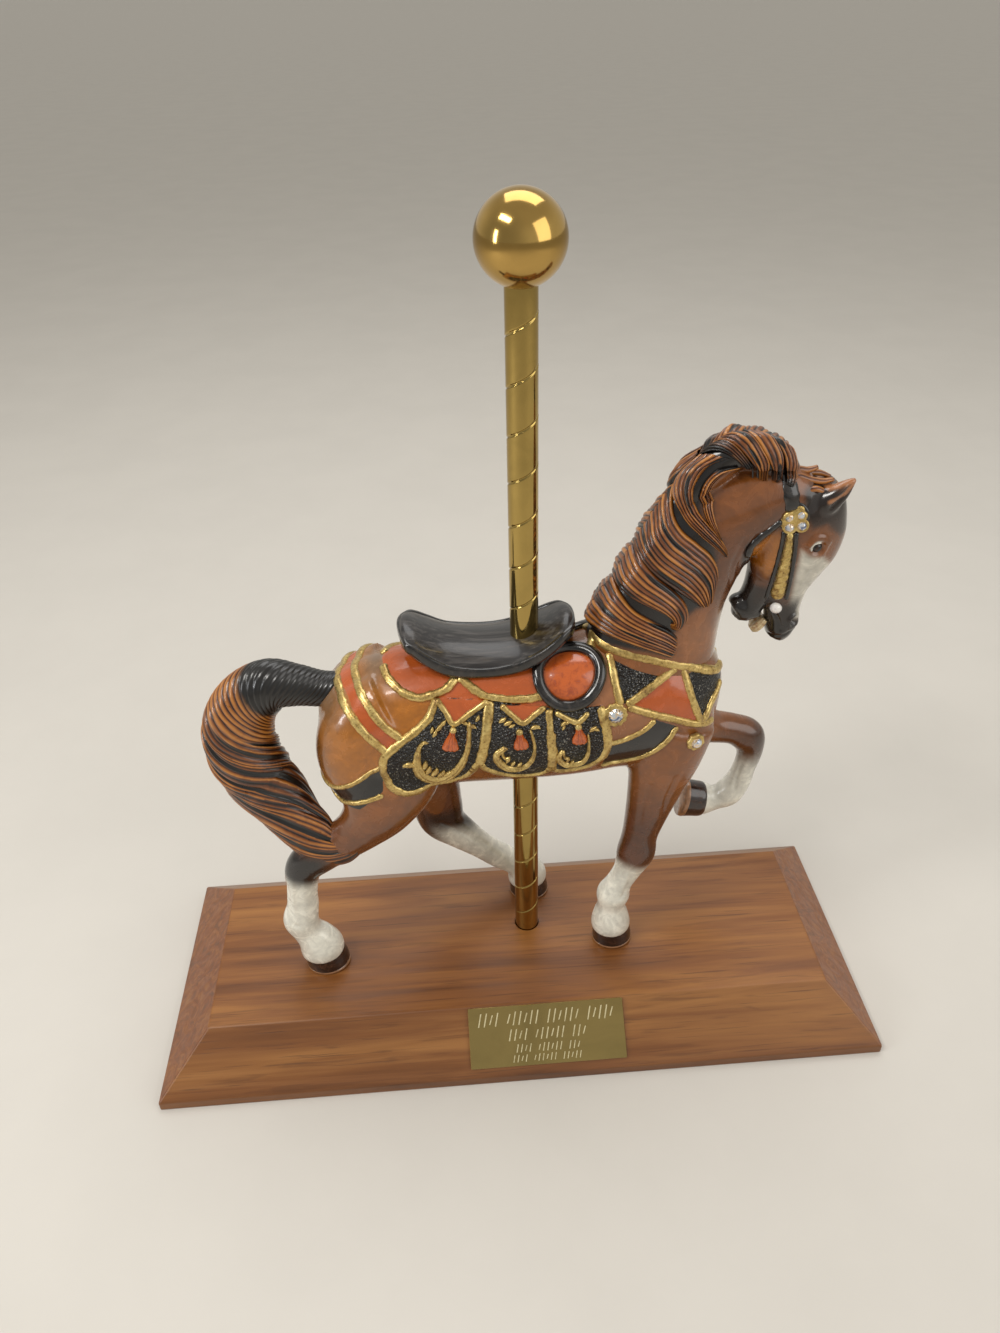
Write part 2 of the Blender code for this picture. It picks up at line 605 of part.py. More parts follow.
def main():
    for obj in list(bpy.data.objects):
        bpy.data.objects.remove(obj)
    parts = make_collection("carousel_horse")
    cutters = make_collection("cutters")

    board = build_board(parts, cutters)
    pole, ball = build_pole_and_ball(parts, cutters)
    plate = build_plate(parts)
    horse = build_horse(parts)

    mesh = bmesh.new()
    mesh.from_mesh(horse.data)
    tree = BVHTree.FromBMesh(mesh)
    mesh.free()

    # Soles trimmed flat, one running gap above the board
    cut_with(horse, block("sole_trim", cutters, (2 * horse_length, horse_length, base_height),
                          (0, 0, base_height / 2 + fit_gap)))
    cut_with(horse, cylinder("horse_bore", cutters, pole_diameter / 2 + fit_gap, base_height,
                             ball_centre_height, pole_x, pole_y))

    stones = [build_stone("large_stone", parts, cutters, horse, tree, LARGE_STONE_SEAT, large_stone_diameter),
              build_stone("chest_stone", parts, cutters, horse, tree, CHEST_STONE_SEAT, chest_stone_diameter)]
    for k in range(4):
        turn = math.radians(45 + 90 * k)
        offset = (rosette_pitch_radius * math.cos(turn), rosette_pitch_radius * math.sin(turn))
        stones.append(build_stone("rosette_stone_%d" % (k + 1), parts, cutters, horse, tree, ROSETTE_SEAT,
                                  rosette_stone_diameter, offset))
    pearl = build_pearl("bit_pearl", parts, cutters, horse, tree, PEARL_SEAT, pearl_diameter)

    materials = {
        "walnut": make_material("walnut", (0.23, 0.10, 0.035), 0.0, 0.4, 0.3),
        "polished_brass": make_material("polished_brass", (0.72, 0.52, 0.20), 1.0, 0.16),
        "engraved_brass": make_material("engraved_brass", (0.62, 0.48, 0.22), 1.0, 0.3),
        "painted_casting": make_material("painted_casting", (0.24, 0.09, 0.03), 0.0, 0.25, 0.6),
        "rhinestone": make_material("rhinestone", (0.80, 0.86, 0.90), 0.0, 0.05),
        "pearl": make_material("pearl", (0.85, 0.83, 0.80), 0.0, 0.2, 0.5),
    }
    for obj, slot in [(board, "walnut"), (pole, "polished_brass"), (ball, "polished_brass"),
                      (plate, "engraved_brass"), (horse, "painted_casting"), (pearl, "pearl")] \
            + [(stone, "rhinestone") for stone in stones]:
        obj.data.materials.clear()
        obj.data.materials.append(materials[slot])
    for obj in cutters.objects:
        obj.hide_render = True
        obj.display_type = "WIRE"


main()
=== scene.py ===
"""Dresses the carousel horse ornament for its picture.

Walnut board, brass pole, ball and plate, a painted casting of a prancing horse, and its set stones.
The horse is drawn in millimetres: x along it towards the head, y across from its own mid plane with
the dressed side at minus y, and z up.
"""

import logging
import math
from dataclasses import dataclass, field
from enum import Enum
from functools import partial
from typing import Optional, Sequence

import bpy
import numpy as np
from mathutils import Matrix, Vector
from mathutils.bvhtree import BVHTree

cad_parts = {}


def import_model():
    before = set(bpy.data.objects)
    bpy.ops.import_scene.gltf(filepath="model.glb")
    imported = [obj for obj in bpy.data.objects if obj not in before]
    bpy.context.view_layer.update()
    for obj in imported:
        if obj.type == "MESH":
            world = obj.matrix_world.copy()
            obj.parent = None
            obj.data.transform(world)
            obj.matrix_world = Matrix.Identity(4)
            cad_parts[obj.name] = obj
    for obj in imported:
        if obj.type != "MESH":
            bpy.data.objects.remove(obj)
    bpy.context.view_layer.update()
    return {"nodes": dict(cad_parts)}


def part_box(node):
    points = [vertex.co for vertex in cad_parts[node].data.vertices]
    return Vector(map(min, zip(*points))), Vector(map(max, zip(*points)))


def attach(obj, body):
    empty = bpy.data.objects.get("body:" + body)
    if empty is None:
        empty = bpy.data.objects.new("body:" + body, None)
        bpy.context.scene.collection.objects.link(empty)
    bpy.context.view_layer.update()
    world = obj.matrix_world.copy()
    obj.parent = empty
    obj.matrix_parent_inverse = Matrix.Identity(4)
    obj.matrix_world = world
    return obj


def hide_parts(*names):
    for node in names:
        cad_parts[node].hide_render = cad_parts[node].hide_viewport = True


LOG = logging.getLogger("carousel_horse")

MM = 0.001
MID_Y = 5.2
RISE = 0.325
OUTSIDE = -5.0
EYE = (98.0, 199.2)
CASTING = ("painted_casting", "horse")

Colour = tuple[float, float, float]
Points = Sequence[Sequence[float]]
Array = np.ndarray
Thing = bpy.types.Object
Material = bpy.types.Material
Socket = bpy.types.NodeSocket


def put(thing: Thing) -> None:
    """Put an object into the scene."""
    bpy.context.scene.collection.objects.link(thing)


def paint(red: int, green: int, blue: int) -> Colour:
    """A paint colour mixed from screen values, as linear light."""
    return tuple((c / 255.0) ** 2.2 for c in (red, green, blue))


def to_frame(points: Array) -> Array:
    """Drawn millimetres turned into the frame's metres."""
    return (np.asarray(points, float) + (0.0, MID_Y, RISE)) * MM


def node_middle(low: Vector, high: Vector) -> Array:
    """The middle of a frame box, in drawn millimetres."""
    return np.array((low + high) / 2) / MM - (0.0, MID_Y, RISE)


def ease(low: float, high: float, value: Array) -> Array:
    """A soft step from 0 at low to 1 at high."""
    t = np.clip((value - low) / (high - low), 0.0, 1.0)
    return t * t * (3.0 - 2.0 * t)


def unit(vectors: Array) -> Array:
    """Vectors brought to length one."""
    return vectors / np.maximum(np.linalg.norm(vectors, axis=-1, keepdims=True), 1e-9)


def lap(count: int) -> Array:
    """Evenly spaced angles once round."""
    return np.linspace(0.0, 2.0 * math.pi, count, endpoint=False)


def facing(out: Array) -> Array:
    """The turn that takes the upward axis to a way out of a surface."""
    return np.array(Vector((0, 0, 1)).rotation_difference(Vector(out)).to_matrix())


def smooth_line(points: Points, count: int, closed: bool = False) -> Array:
    """A smooth curve through points, evenly spaced along its length.

    Args:
        points: Rows of coordinates. Columns past the third are carried along.
        count: Number of points in the result.
        closed: Whether the curve comes back to its start.

    Returns:
        The points of the curve.
    """
    rows = np.asarray(points, float)
    last = len(rows) if closed else len(rows) - 1
    t = np.linspace(0.0, 1.0, 12, endpoint=False)[:, None]
    parts = []
    for i in range(last):
        if closed:
            a, b, c, d = (rows[(i + k) % len(rows)] for k in (-1, 0, 1, 2))
        else:
            a, b, c, d = (rows[min(max(i + k, 0), len(rows) - 1)] for k in (-1, 0, 1, 2))
        parts.append(0.5 * (2 * b + (c - a) * t + (2 * a - 5 * b + 4 * c - d) * t ** 2
                            + (3 * b - 3 * c + d - a) * t ** 3))
    parts.append(rows[:1] if closed else rows[-1:])
    dense = np.concatenate(parts)
    steps = np.linalg.norm(np.diff(dense[:, :3], axis=0), axis=1)
    along = np.concatenate([[0.0], np.cumsum(steps)])
    want = np.linspace(0.0, along[-1], count, endpoint=not closed)
    return np.stack([np.interp(want, along, dense[:, k]) for k in range(rows.shape[1])], 1)


def line_distance(spots: Array, line: Points) -> Array:
    """Distance of flat spots from a line of points.

    Args:
        spots: Rows of two coordinates.
        line: The line's points.

    Returns:
        One distance for each spot.
    """
    best = np.full(len(spots), 1e9)
    rows = np.asarray(line, float)
    for a, b in zip(rows[:-1], rows[1:]):
        run = b - a
        t = np.clip(((spots - a) @ run) / max(run @ run, 1e-12), 0.0, 1.0)
        best = np.minimum(best, np.linalg.norm(spots - a - t[:, None] * run, axis=1))
    return best


def field_depth(spots: Array, outline: Points) -> Array:
    """How deep flat spots lie inside a closed outline, negative outside it.

    Args:
        spots: Rows of two coordinates.
        outline: The outline's corners.

    Returns:
        One depth for each spot.
    """
    rows = np.asarray(list(outline) + [outline[0]], float)
    inside = np.zeros(len(spots), bool)
    for a, b in zip(rows[:-1], rows[1:]):
        if abs(b[1] - a[1]) < 1e-12:
            continue
        crosses = (a[1] > spots[:, 1]) != (b[1] > spots[:, 1])
        at_x = a[0] + (spots[:, 1] - a[1]) * (b[0] - a[0]) / (b[1] - a[1])
        inside ^= crosses & (spots[:, 0] < at_x)
    gap = line_distance(spots, rows)
    return np.where(inside, gap, -gap)


class Grain(Enum):
    """Ways in which a finish's noise is drawn out."""

    EVEN = (1.0, 1.0, 1.0)
    ALONG_X = (0.06, 1.0, 1.0)
    LONG_X = (0.02, 1.0, 1.0)


@dataclass
class Recipe:
    """A material's node tree, with short ways to add the nodes that the finishes use."""

    name: str
    material: Material = field(init=False)
    shader: bpy.types.Node = field(init=False)

    def __post_init__(self) -> None:
        """Start the material with one Principled shader."""
        self.material = bpy.data.materials.new(self.name)
        self.material.use_nodes = True
        self.shader = self.material.node_tree.nodes["Principled BSDF"]

    def node(self, kind: str) -> bpy.types.Node:
        """A new node of a kind."""
        return self.material.node_tree.nodes.new(kind)

    def feed(self, socket: Socket, value: object) -> None:
        """Link an output to a socket, or set the socket to a number or colour.

        Args:
            socket: The socket.
            value: An output, a number or a colour.
        """
        if isinstance(value, Socket):
            self.material.node_tree.links.new(value, socket)
        elif isinstance(value, tuple) and len(value) == 3 and len(socket.default_value) == 4:
            socket.default_value = (*value, 1.0)
        else:
            socket.default_value = value

    def set(self, **values: object) -> None:
        """Set or feed the shader's own sockets, named with underscores."""
        for name, value in values.items():
            self.feed(self.shader.inputs[name.replace("_", " ")], value)

    def where(self, grain: Grain = Grain.EVEN) -> Socket:
        """The spot on the object, in metres, drawn out along the grain.

        Args:
            grain: How it is drawn out.

        Returns:
            The spot.
        """
        place = self.node("ShaderNodeTexCoord").outputs["Object"]
        if grain is Grain.EVEN:
            return place
        stretch = self.node("ShaderNodeMapping")
        stretch.inputs["Scale"].default_value = grain.value
        self.feed(stretch.inputs["Vector"], place)
        return stretch.outputs["Vector"]

    def noise(self, per_metre: float, detail: float = 3.0, rough: float = 0.5, warp: float = 0.0,
              grain: Grain = Grain.EVEN) -> Socket:
        """A cloudy value from 0 to 1.

        Args:
            per_metre: Clouds in a metre.
            detail: Layers of finer clouds.
            rough: Strength of the finer layers.
            warp: How far the clouds are bent.
            grain: How they are drawn out.

        Returns:
            The value.
        """
        cloud = self.node("ShaderNodeTexNoise")
        self.feed(cloud.inputs["Vector"], self.where(grain))
        cloud.inputs["Scale"].default_value = per_metre
        cloud.inputs["Detail"].default_value = detail
        cloud.inputs["Roughness"].default_value = rough
        cloud.inputs["Distortion"].default_value = warp
        return cloud.outputs["Fac"]

    def cells(self, per_metre: float) -> Socket:
        """Distance to the middle of the nearest cell.

        Args:
            per_metre: Cells in a metre.

        Returns:
            The distance.
        """
        cell = self.node("ShaderNodeTexVoronoi")
        self.feed(cell.inputs["Vector"], self.where())
        cell.inputs["Scale"].default_value = per_metre
        return cell.outputs["Distance"]

    def own(self, name: str) -> Socket:
        """A number painted on the mesh."""
        read = self.node("ShaderNodeAttribute")
        read.attribute_name = name
        return read.outputs["Fac"]

    def own_colour(self, name: str) -> Socket:
        """A colour painted on the mesh."""
        read = self.node("ShaderNodeAttribute")
        read.attribute_name = name
        return read.outputs["Color"]

    def sum(self, kind: str, a: object, b: object = 0.0) -> Socket:
        """One step of arithmetic.

        Args:
            kind: The operation.
            a: The first value.
            b: The second.

        Returns:
            The result.
        """
        step = self.node("ShaderNodeMath")
        step.operation = kind
        self.feed(step.inputs[0], a)
        self.feed(step.inputs[1], b)
        return step.outputs[0]

    def fit(self, value: Socket, low: float, high: float, to_low: float = 0.0,
            to_high: float = 1.0) -> Socket:
        """A value taken softly from one range to another.

        Args:
            value: The value.
            low: Where the range starts.
            high: Where it ends.
            to_low: What the start becomes.
            to_high: What the end becomes.

        Returns:
            The new value.
        """
        remap = self.node("ShaderNodeMapRange")
        remap.interpolation_type = "SMOOTHSTEP"
        self.feed(remap.inputs["Value"], value)
        remap.inputs["From Min"].default_value = low
        remap.inputs["From Max"].default_value = high
        remap.inputs["To Min"].default_value = to_low
        remap.inputs["To Max"].default_value = to_high
        return remap.outputs["Result"]

    def blend(self, share: object, a: object, b: object, kind: str = "MIX") -> Socket:
        """Two colours mixed by a share.

        Args:
            share: Share of the second.
            a: The first colour.
            b: The second.
            kind: The way of mixing.

        Returns:
            The colour.
        """
        mixer = self.node("ShaderNodeMix")
        mixer.data_type = "RGBA"
        mixer.blend_type = kind
        self.feed(mixer.inputs[0], share)
        self.feed(mixer.inputs[6], a)
        self.feed(mixer.inputs[7], b)
        return mixer.outputs[2]

    def shades(self, value: Socket, stops: Sequence[tuple[float, Colour]]
               ) -> Socket:
        """A value turned into colours, from stops of place and colour.

        Args:
            value: The value.
            stops: Places from 0 to 1 with their colours.

        Returns:
            The colour.
        """
        ramp = self.node("ShaderNodeValToRGB")
        knots = ramp.color_ramp.elements
        knots[0].position, knots[0].color = stops[0][0], (*stops[0][1], 1.0)
        knots[1].position, knots[1].color = stops[-1][0], (*stops[-1][1], 1.0)
        for place, colour in stops[1:-1]:
            knots.new(place).color = (*colour, 1.0)
        self.feed(ramp.inputs["Fac"], value)
        return ramp.outputs["Color"]

    def relief(self, height: Socket, depth_mm: float, strength: float = 1.0) -> None:
        """Feed a bump to the shader, on top of one that is there.

        Args:
            height: The bump's height, from 0 to 1.
            depth_mm: Depth of a full height.
            strength: How strongly it shows.
        """
        bump = self.node("ShaderNodeBump")
        bump.inputs["Strength"].default_value = strength
        bump.inputs["Distance"].default_value = depth_mm * MM
        self.feed(bump.inputs["Height"], height)
        normal = self.shader.inputs["Normal"]
        if normal.is_linked:
            self.feed(bump.inputs["Normal"], normal.links[0].from_socket)
        self.feed(normal, bump.outputs["Normal"])


@dataclass(frozen=True)
class Walnut:
    """Oiled walnut, its grain along the board, curlier on the end bevels and darkened on every bevel by
    painted shade.
    """

    light: Colour = paint(158, 106, 54)
    middle: Colour = paint(126, 78, 38)
    dark: Colour = paint(86, 50, 24)
    end: Colour = paint(128, 68, 26)
    pore: Colour = paint(58, 33, 18)

    def make(self) -> Material:
        """Mix the finish.

        Returns:
            The material.
        """
        r = Recipe("walnut")
        bands = r.noise(26.0, 4.0, 0.55, 1.4, Grain.ALONG_X)
        figure = r.noise(95.0, 5.0, 0.6, 2.2, Grain.ALONG_X)
        wood = r.shades(r.sum("ADD", r.sum("MULTIPLY", bands, 0.62), r.sum("MULTIPLY", figure, 0.42)),
                        [(0.30, self.dark), (0.47, self.middle), (0.64, self.light)])
        lines = r.fit(r.noise(420.0, 3.0, 0.6, 0.6, Grain.ALONG_X), 0.56, 0.70)
        pores = r.fit(r.noise(1500.0, 2.0, 0.6, 0.0, Grain.LONG_X), 0.60, 0.72)
        wood = r.blend(r.sum("MULTIPLY", lines, 0.38), wood, self.dark)
        wood = r.blend(r.sum("MULTIPLY", pores, 0.5), wood, self.pore)
        turn = r.node("ShaderNodeNewGeometry")
        split = r.node("ShaderNodeSeparateXYZ")
        r.feed(split.inputs[0], turn.outputs["True Normal"])
        end = r.fit(r.sum("ABSOLUTE", split.outputs["X"]), 0.3, 0.6)
        curl = r.shades(r.noise(120.0, 4.0, 0.6, 3.0),
                        [(0.30, self.dark), (0.50, self.end), (0.75, self.light)])
        wood = r.blend(r.sum("MULTIPLY", end, 0.75), wood, curl)
        # Painted shade: faces that slope away from straight up, such as the bevels, are multiplied darker,
        # down to 0.86.
        slope = r.fit(split.outputs["Z"], 0.80, 0.95, 0.86, 1.0)
        shade = r.node("ShaderNodeCombineColor")
        for socket in shade.inputs[:3]:
            r.feed(socket, slope)
        wood = r.blend(1.0, wood, shade.outputs[0], "MULTIPLY")
        r.set(Base_Color=wood, Roughness=r.fit(figure, 0.3, 0.7, 0.34, 0.50), Coat_Weight=0.12,
              Coat_Roughness=0.28)
        r.relief(r.sum("SUBTRACT", 1.0, pores), 0.05, 0.35)
        return r.material


@dataclass(frozen=True)
class Brass:
    """Brass, polished or brushed, with the smears of handling."""

    name: str
    colour: Colour = paint(176, 150, 88)
    shine: float = 0.06
    brushed: float = 0.0

    def make(self) -> Material:
        """Mix the finish.

        Returns:
            The material.
        """
        r = Recipe(self.name)
        smear = r.noise(38.0, 4.0, 0.6, 1.0)
        dull = tuple(c * 0.80 for c in self.colour)
        r.set(Base_Color=r.blend(r.fit(smear, 0.35, 0.75), self.colour, dull), Metallic=1.0,
              Roughness=r.fit(smear, 0.3, 0.8, self.shine, self.shine + 0.09))
        if self.brushed:
            r.relief(r.noise(2600.0, 2.0, 0.6, 0.0, Grain.LONG_X), 0.02, self.brushed)
        return r.material


@dataclass(frozen=True)
class CoatPaint:
    """The casting's varnished paint, with enamel fields, black straps and glitter panels, their pale flecks
    painted glints.
    """

    orange: Colour = paint(186, 88, 36)
    black: Colour = paint(17, 15, 15)
    # Pale flecks of the glitter panels: painted glints of the glitter.
    glint_fleck: Colour = paint(150, 146, 136)

    def make(self) -> Material:
        """Mix the finish.

        Returns:
            The material.
        """
        r = Recipe("painted_coat")
        brush = r.noise(150.0, 5.0, 0.62, 0.8)
        mottle = r.noise(620.0, 3.0, 0.55)
        worn = r.fit(brush, 0.25, 0.80, 0.74, 1.18)
        tone = r.node("ShaderNodeCombineColor")
        for socket in tone.inputs[:3]:
            r.feed(socket, r.sum("MULTIPLY", worn, r.fit(mottle, 0.2, 0.8, 0.93, 1.07)))
        colour = r.blend(1.0, r.own_colour("paint"), tone.outputs[0], "MULTIPLY")
        ragged = r.fit(r.noise(900.0, 2.0), 0.2, 0.8, -0.12, 0.12)
        enamel = r.fit(r.sum("ADD", r.own("orange"), ragged), -0.12, 0.12)
        rich = r.blend(r.fit(brush, 0.3, 0.8), tuple(c * 0.80 for c in self.orange), self.orange)
        colour = r.blend(enamel, colour, rich)
        strap = r.fit(r.sum("ADD", r.own("black"), ragged), -0.12, 0.12)
        colour = r.blend(strap, colour, self.black)
        glitter = r.fit(r.sum("ADD", r.own("glitter"), ragged), -0.12, 0.12)
        grit = r.cells(1250.0)
        # Painted glint: pale flecks scattered over the glitter panels stand for the glitter's sparkle.
        painted_glint = r.sum("MULTIPLY", r.fit(r.noise(1700.0, 1.0), 0.63, 0.69), 0.8)
        colour = r.blend(glitter, colour, r.blend(painted_glint, self.black, self.glint_fleck))
        dull = r.fit(brush, 0.3, 0.8, 0.20, 0.34)
        rough = r.node("ShaderNodeMix")
        r.feed(rough.inputs[0], glitter)
        r.feed(rough.inputs[2], dull)
        rough.inputs[3].default_value = 0.30
        r.set(Base_Color=colour, Roughness=rough.outputs[0], Coat_Weight=r.fit(glitter, 0.0, 1.0, 0.55, 0.10),
              Coat_Roughness=0.07, Specular_IOR_Level=0.5)
        r.relief(brush, 0.25, 0.12)
        r.relief(r.sum("MULTIPLY", grit, glitter), 0.7, 1.0)
        return r.material


@dataclass(frozen=True)
class Hair:
    """Carved hair: a painted highlight along the strand crests, black wash and painted shade in the grooves.
    """

    groove: Colour = paint(14, 10, 9)
    deep: Colour = paint(54, 27, 13)
    strand: Colour = paint(118, 66, 26)
    # The tip colour on the crests is a painted highlight.
    tip: Colour = paint(178, 116, 52)

    def make(self) -> Material:
        """Mix the finish.

        Returns:
            The material.
        """
        r = Recipe("carved_hair")
        patch = r.noise(110.0, 4.0, 0.6, 0.6)
        crest = r.sum("ADD", r.own("ridge"), r.fit(patch, 0.2, 0.8, -0.20, 0.16))
        # Crests take the tip colour, a painted highlight; grooves go near black, partly black wash and partly
        # painted shade.
        colour = r.shades(crest, [(0.05, self.groove), (0.26, self.deep), (0.58, self.strand),
                                  (1.0, self.tip)])
        # The dark value adds black wash, and painted shade where the mane's locks tuck under each other.
        wash_and_shade = r.fit(r.sum("ADD", r.own("dark"), r.fit(patch, 0.2, 0.8, -0.15, 0.15)), 0.25, 0.75)
        colour = r.blend(wash_and_shade, colour, self.groove)
        r.set(Base_Color=colour, Roughness=r.fit(patch, 0.2, 0.8, 0.26, 0.42), Coat_Weight=0.45,
              Coat_Roughness=0.12)
        r.relief(r.noise(1100.0, 3.0, 0.6), 0.12, 0.25)
        return r.material


@dataclass(frozen=True)
class GoldPaint:
    """Brushed-on gold paint, rubbed brown in places."""

    bright: Colour = paint(226, 200, 130)
    body: Colour = paint(184, 154, 90)
    rubbed: Colour = paint(112, 80, 42)

    def make(self) -> Material:
        """Mix the finish.

        Returns:
            The material.
        """
        r = Recipe("gold_paint")
        patch = r.noise(260.0, 4.0, 0.6, 0.8)
        streak = r.noise(1300.0, 2.0, 0.5)
        colour = r.shades(r.sum("ADD", r.sum("MULTIPLY", patch, 0.7), r.sum("MULTIPLY", streak, 0.3)),
                          [(0.30, self.rubbed), (0.46, self.body), (0.66, self.bright)])
        r.set(Base_Color=colour, Metallic=r.fit(patch, 0.3, 0.6, 0.55, 0.85),
              Roughness=r.fit(streak, 0.3, 0.7, 0.26, 0.42), Coat_Weight=0.3, Coat_Roughness=0.1)
        r.relief(streak, 0.12, 0.35)
        return r.material


@dataclass(frozen=True)
class Lacquer:
    """A thick glossy paint of one colour with brush marks."""

    name: str
    colour: Colour
    mark: Colour
    grain: Grain = Grain.EVEN
    per_metre: float = 500.0
    rough: tuple[float, float] = (0.14, 0.28)
    coat: float = 0.6
    depth: float = 0.10

    def make(self) -> Material:
        """Mix the finish.

        Returns:
            The material.
        """
        r = Recipe(self.name)
        marks = r.noise(self.per_metre, 4.0, 0.62, 0.4, self.grain)
        dust = r.noise(2600.0, 2.0, 0.5)
        colour = r.blend(r.fit(marks, 0.42, 0.74), self.colour, self.mark)
        colour = r.blend(r.sum("MULTIPLY", r.fit(dust, 0.68, 0.78), 0.25), colour, self.mark)
        r.set(Base_Color=colour, Roughness=r.fit(marks, 0.3, 0.7, self.rough[0], self.rough[1]),
              Coat_Weight=self.coat, Coat_Roughness=0.08)
        r.relief(marks, self.depth, 0.4)
        return r.material


@dataclass(frozen=True)
class Glass:
    """A foil-backed cut stone, its facets tinted by the coating."""

    name: str
    pale: Colour
    warm: Colour
    deep: Colour

    def make(self) -> Material:
        """Mix the finish.

        Returns:
            The material.
        """
        r = Recipe(self.name)
        tint = r.shades(r.noise(520.0, 1.0, 0.5, 0.5),
                        [(0.34, self.deep), (0.45, self.pale), (0.56, self.warm), (0.68, self.pale)])
        r.set(Base_Color=tint, Metallic=0.55, Roughness=r.fit(r.noise(900.0), 0.2, 0.8, 0.03, 0.10),
              Coat_Weight=1.0, Coat_Roughness=0.02)
        return r.material


@dataclass(frozen=True)
class Floor:
    """Pale uncoated paper, the same all over."""

    colour: Colour = paint(208, 203, 195)

    def make(self) -> Material:
        """Mix the finish.

        Returns:
            The material.
        """
        r = Recipe("pale_paper")
        cloud = r.noise(14.0, 5.0, 0.6)
        paper = r.blend(r.fit(cloud, 0.3, 0.7), self.colour, tuple(c * 0.97 for c in self.colour))
        r.set(Base_Color=paper, Roughness=0.85)
        r.relief(r.noise(70.0, 5.0, 0.6), 0.3, 0.12)
        return r.material


@dataclass
class Clay:
    """Surfaces gathered for one piece, with the numbers painted on them."""

    name: str
    points: list = field(default_factory=list)
    quads: list = field(default_factory=list)
    triangles: list = field(default_factory=list)
    values: dict = field(default_factory=dict)
    count: int = 0

    def add_values(self, amount: int, values: dict) -> None:
        """Store painted numbers for the points just added, 0 where none are given."""
        for name in set(self.values) | set(values):
            rows = self.values.setdefault(name, [np.zeros(self.count)] if self.count else [])
            rows.append(np.asarray(np.broadcast_to(values.get(name, 0.0), amount), float).copy())

    def grid(self, rows: Array, wrap: bool = True, caps: bool = True, **values: Array) -> None:
        """Add a surface of rows of points.

        Args:
            rows: Points as an array of row, place in the row and coordinate, in drawn millimetres.
            wrap: Whether each row closes on itself.
            caps: Whether the first and last rows are filled in.
            **values: Painted numbers, one for each point.
        """
        tall, wide = rows.shape[:2]
        flat = rows.reshape(-1, 3)
        index = np.arange(tall * wide).reshape(tall, wide) + self.count
        beside = np.roll(index, -1, 1) if wrap else index[:, 1:]
        here = index if wrap else index[:, :-1]
        self.quads.append(np.stack([here[:-1], beside[:-1], beside[1:], here[1:]], -1).reshape(-1, 4))
        painted = {k: np.asarray(np.broadcast_to(v, (tall, wide)), float).reshape(-1)
                   for k, v in values.items()}
        if wrap and caps:
            top = tall * wide + self.count
            flat = np.concatenate([flat, rows[:1].mean(1), rows[-1:].mean(1)])
            self.triangles.append(np.stack([index[0], np.full(wide, top), np.roll(index[0], -1)], -1))
            self.triangles.append(np.stack([np.roll(index[-1], -1), np.full(wide, top + 1), index[-1]], -1))
            painted = {k: np.concatenate([v, [v[:wide].mean(), v[-wide:].mean()]])
                       for k, v in painted.items()}
        self.add_values(len(flat), painted)
        self.points.append(flat)
        self.count += len(flat)

    def solid(self, points: Array, faces: Array, **values: Array) -> None:
        """Add a ready surface of four-sided or three-sided faces.

        Args:
            points: Points in drawn millimetres.
            faces: Corners of each face.
            **values: Painted numbers, one for each point.
        """
        (self.quads if faces.shape[1] == 4 else self.triangles).append(faces + self.count)
        self.add_values(len(points), values)
        self.points.append(points)
        self.count += len(points)

    def build(self, finish: Material, colours: Optional[Array] = None,
              smooth: bool = True) -> Thing:
        """Make the object, in the frame, with its finish.

        Args:
            finish: The material.
            colours: A paint colour for each point, where the finish reads one.
            smooth: Whether the faces are shaded as one surface.

        Returns:
            The object, linked to the scene.
        """
        faces = [f for part in self.quads + self.triangles for f in part.tolist()]
        mesh = bpy.data.meshes.new(self.name)
        mesh.from_pydata(to_frame(np.concatenate(self.points)).tolist(), [], faces)
        mesh.polygons.foreach_set("use_smooth", [smooth] * len(faces))
        for name, rows in self.values.items():
            mesh.attributes.new(name, "FLOAT", "POINT").data.foreach_set(
                "value", np.concatenate(rows).astype(np.float32))
        if colours is not None:
            rgba = np.concatenate([colours, np.ones((len(colours), 1))], 1).astype(np.float32)
            mesh.attributes.new("paint", "FLOAT_COLOR", "POINT").data.foreach_set("color", rgba.ravel())
        mesh.materials.append(finish)
        mesh.validate()
        obj = bpy.data.objects.new(self.name, mesh)
        put(obj)
        return obj


def tube(rows: Points, sides: int = 28, steps: int = 6) -> Array:
    """Ellipses along a limb: each row is x, y, z, half width across and half depth.

    Args:
        rows: The limb's stations.
        sides: Points round the limb.
        steps: Rings between two stations.

    Returns:
        The rings of points.
    """
    fine = smooth_line(rows, steps * (len(rows) - 1) + 1)
    centre = fine[:, :3]
    along = unit(np.gradient(centre, axis=0))
    across = np.array([0.0, 1.0, 0.0]) - along * along[:, 1:2]
    across = unit(across)
    up = np.cross(along, across)
    turn = lap(sides)
    return (centre[:, None] + across[:, None] * (np.cos(turn)[None, :, None] * fine[:, None, 3:4])
            + up[:, None] * (np.sin(turn)[None, :, None] * fine[:, None, 4:5]))


def flip(rows: Points) -> list:
    """The same rows on the other side of the mid plane."""
    return [(row[0], -row[1], *row[2:]) for row in rows]


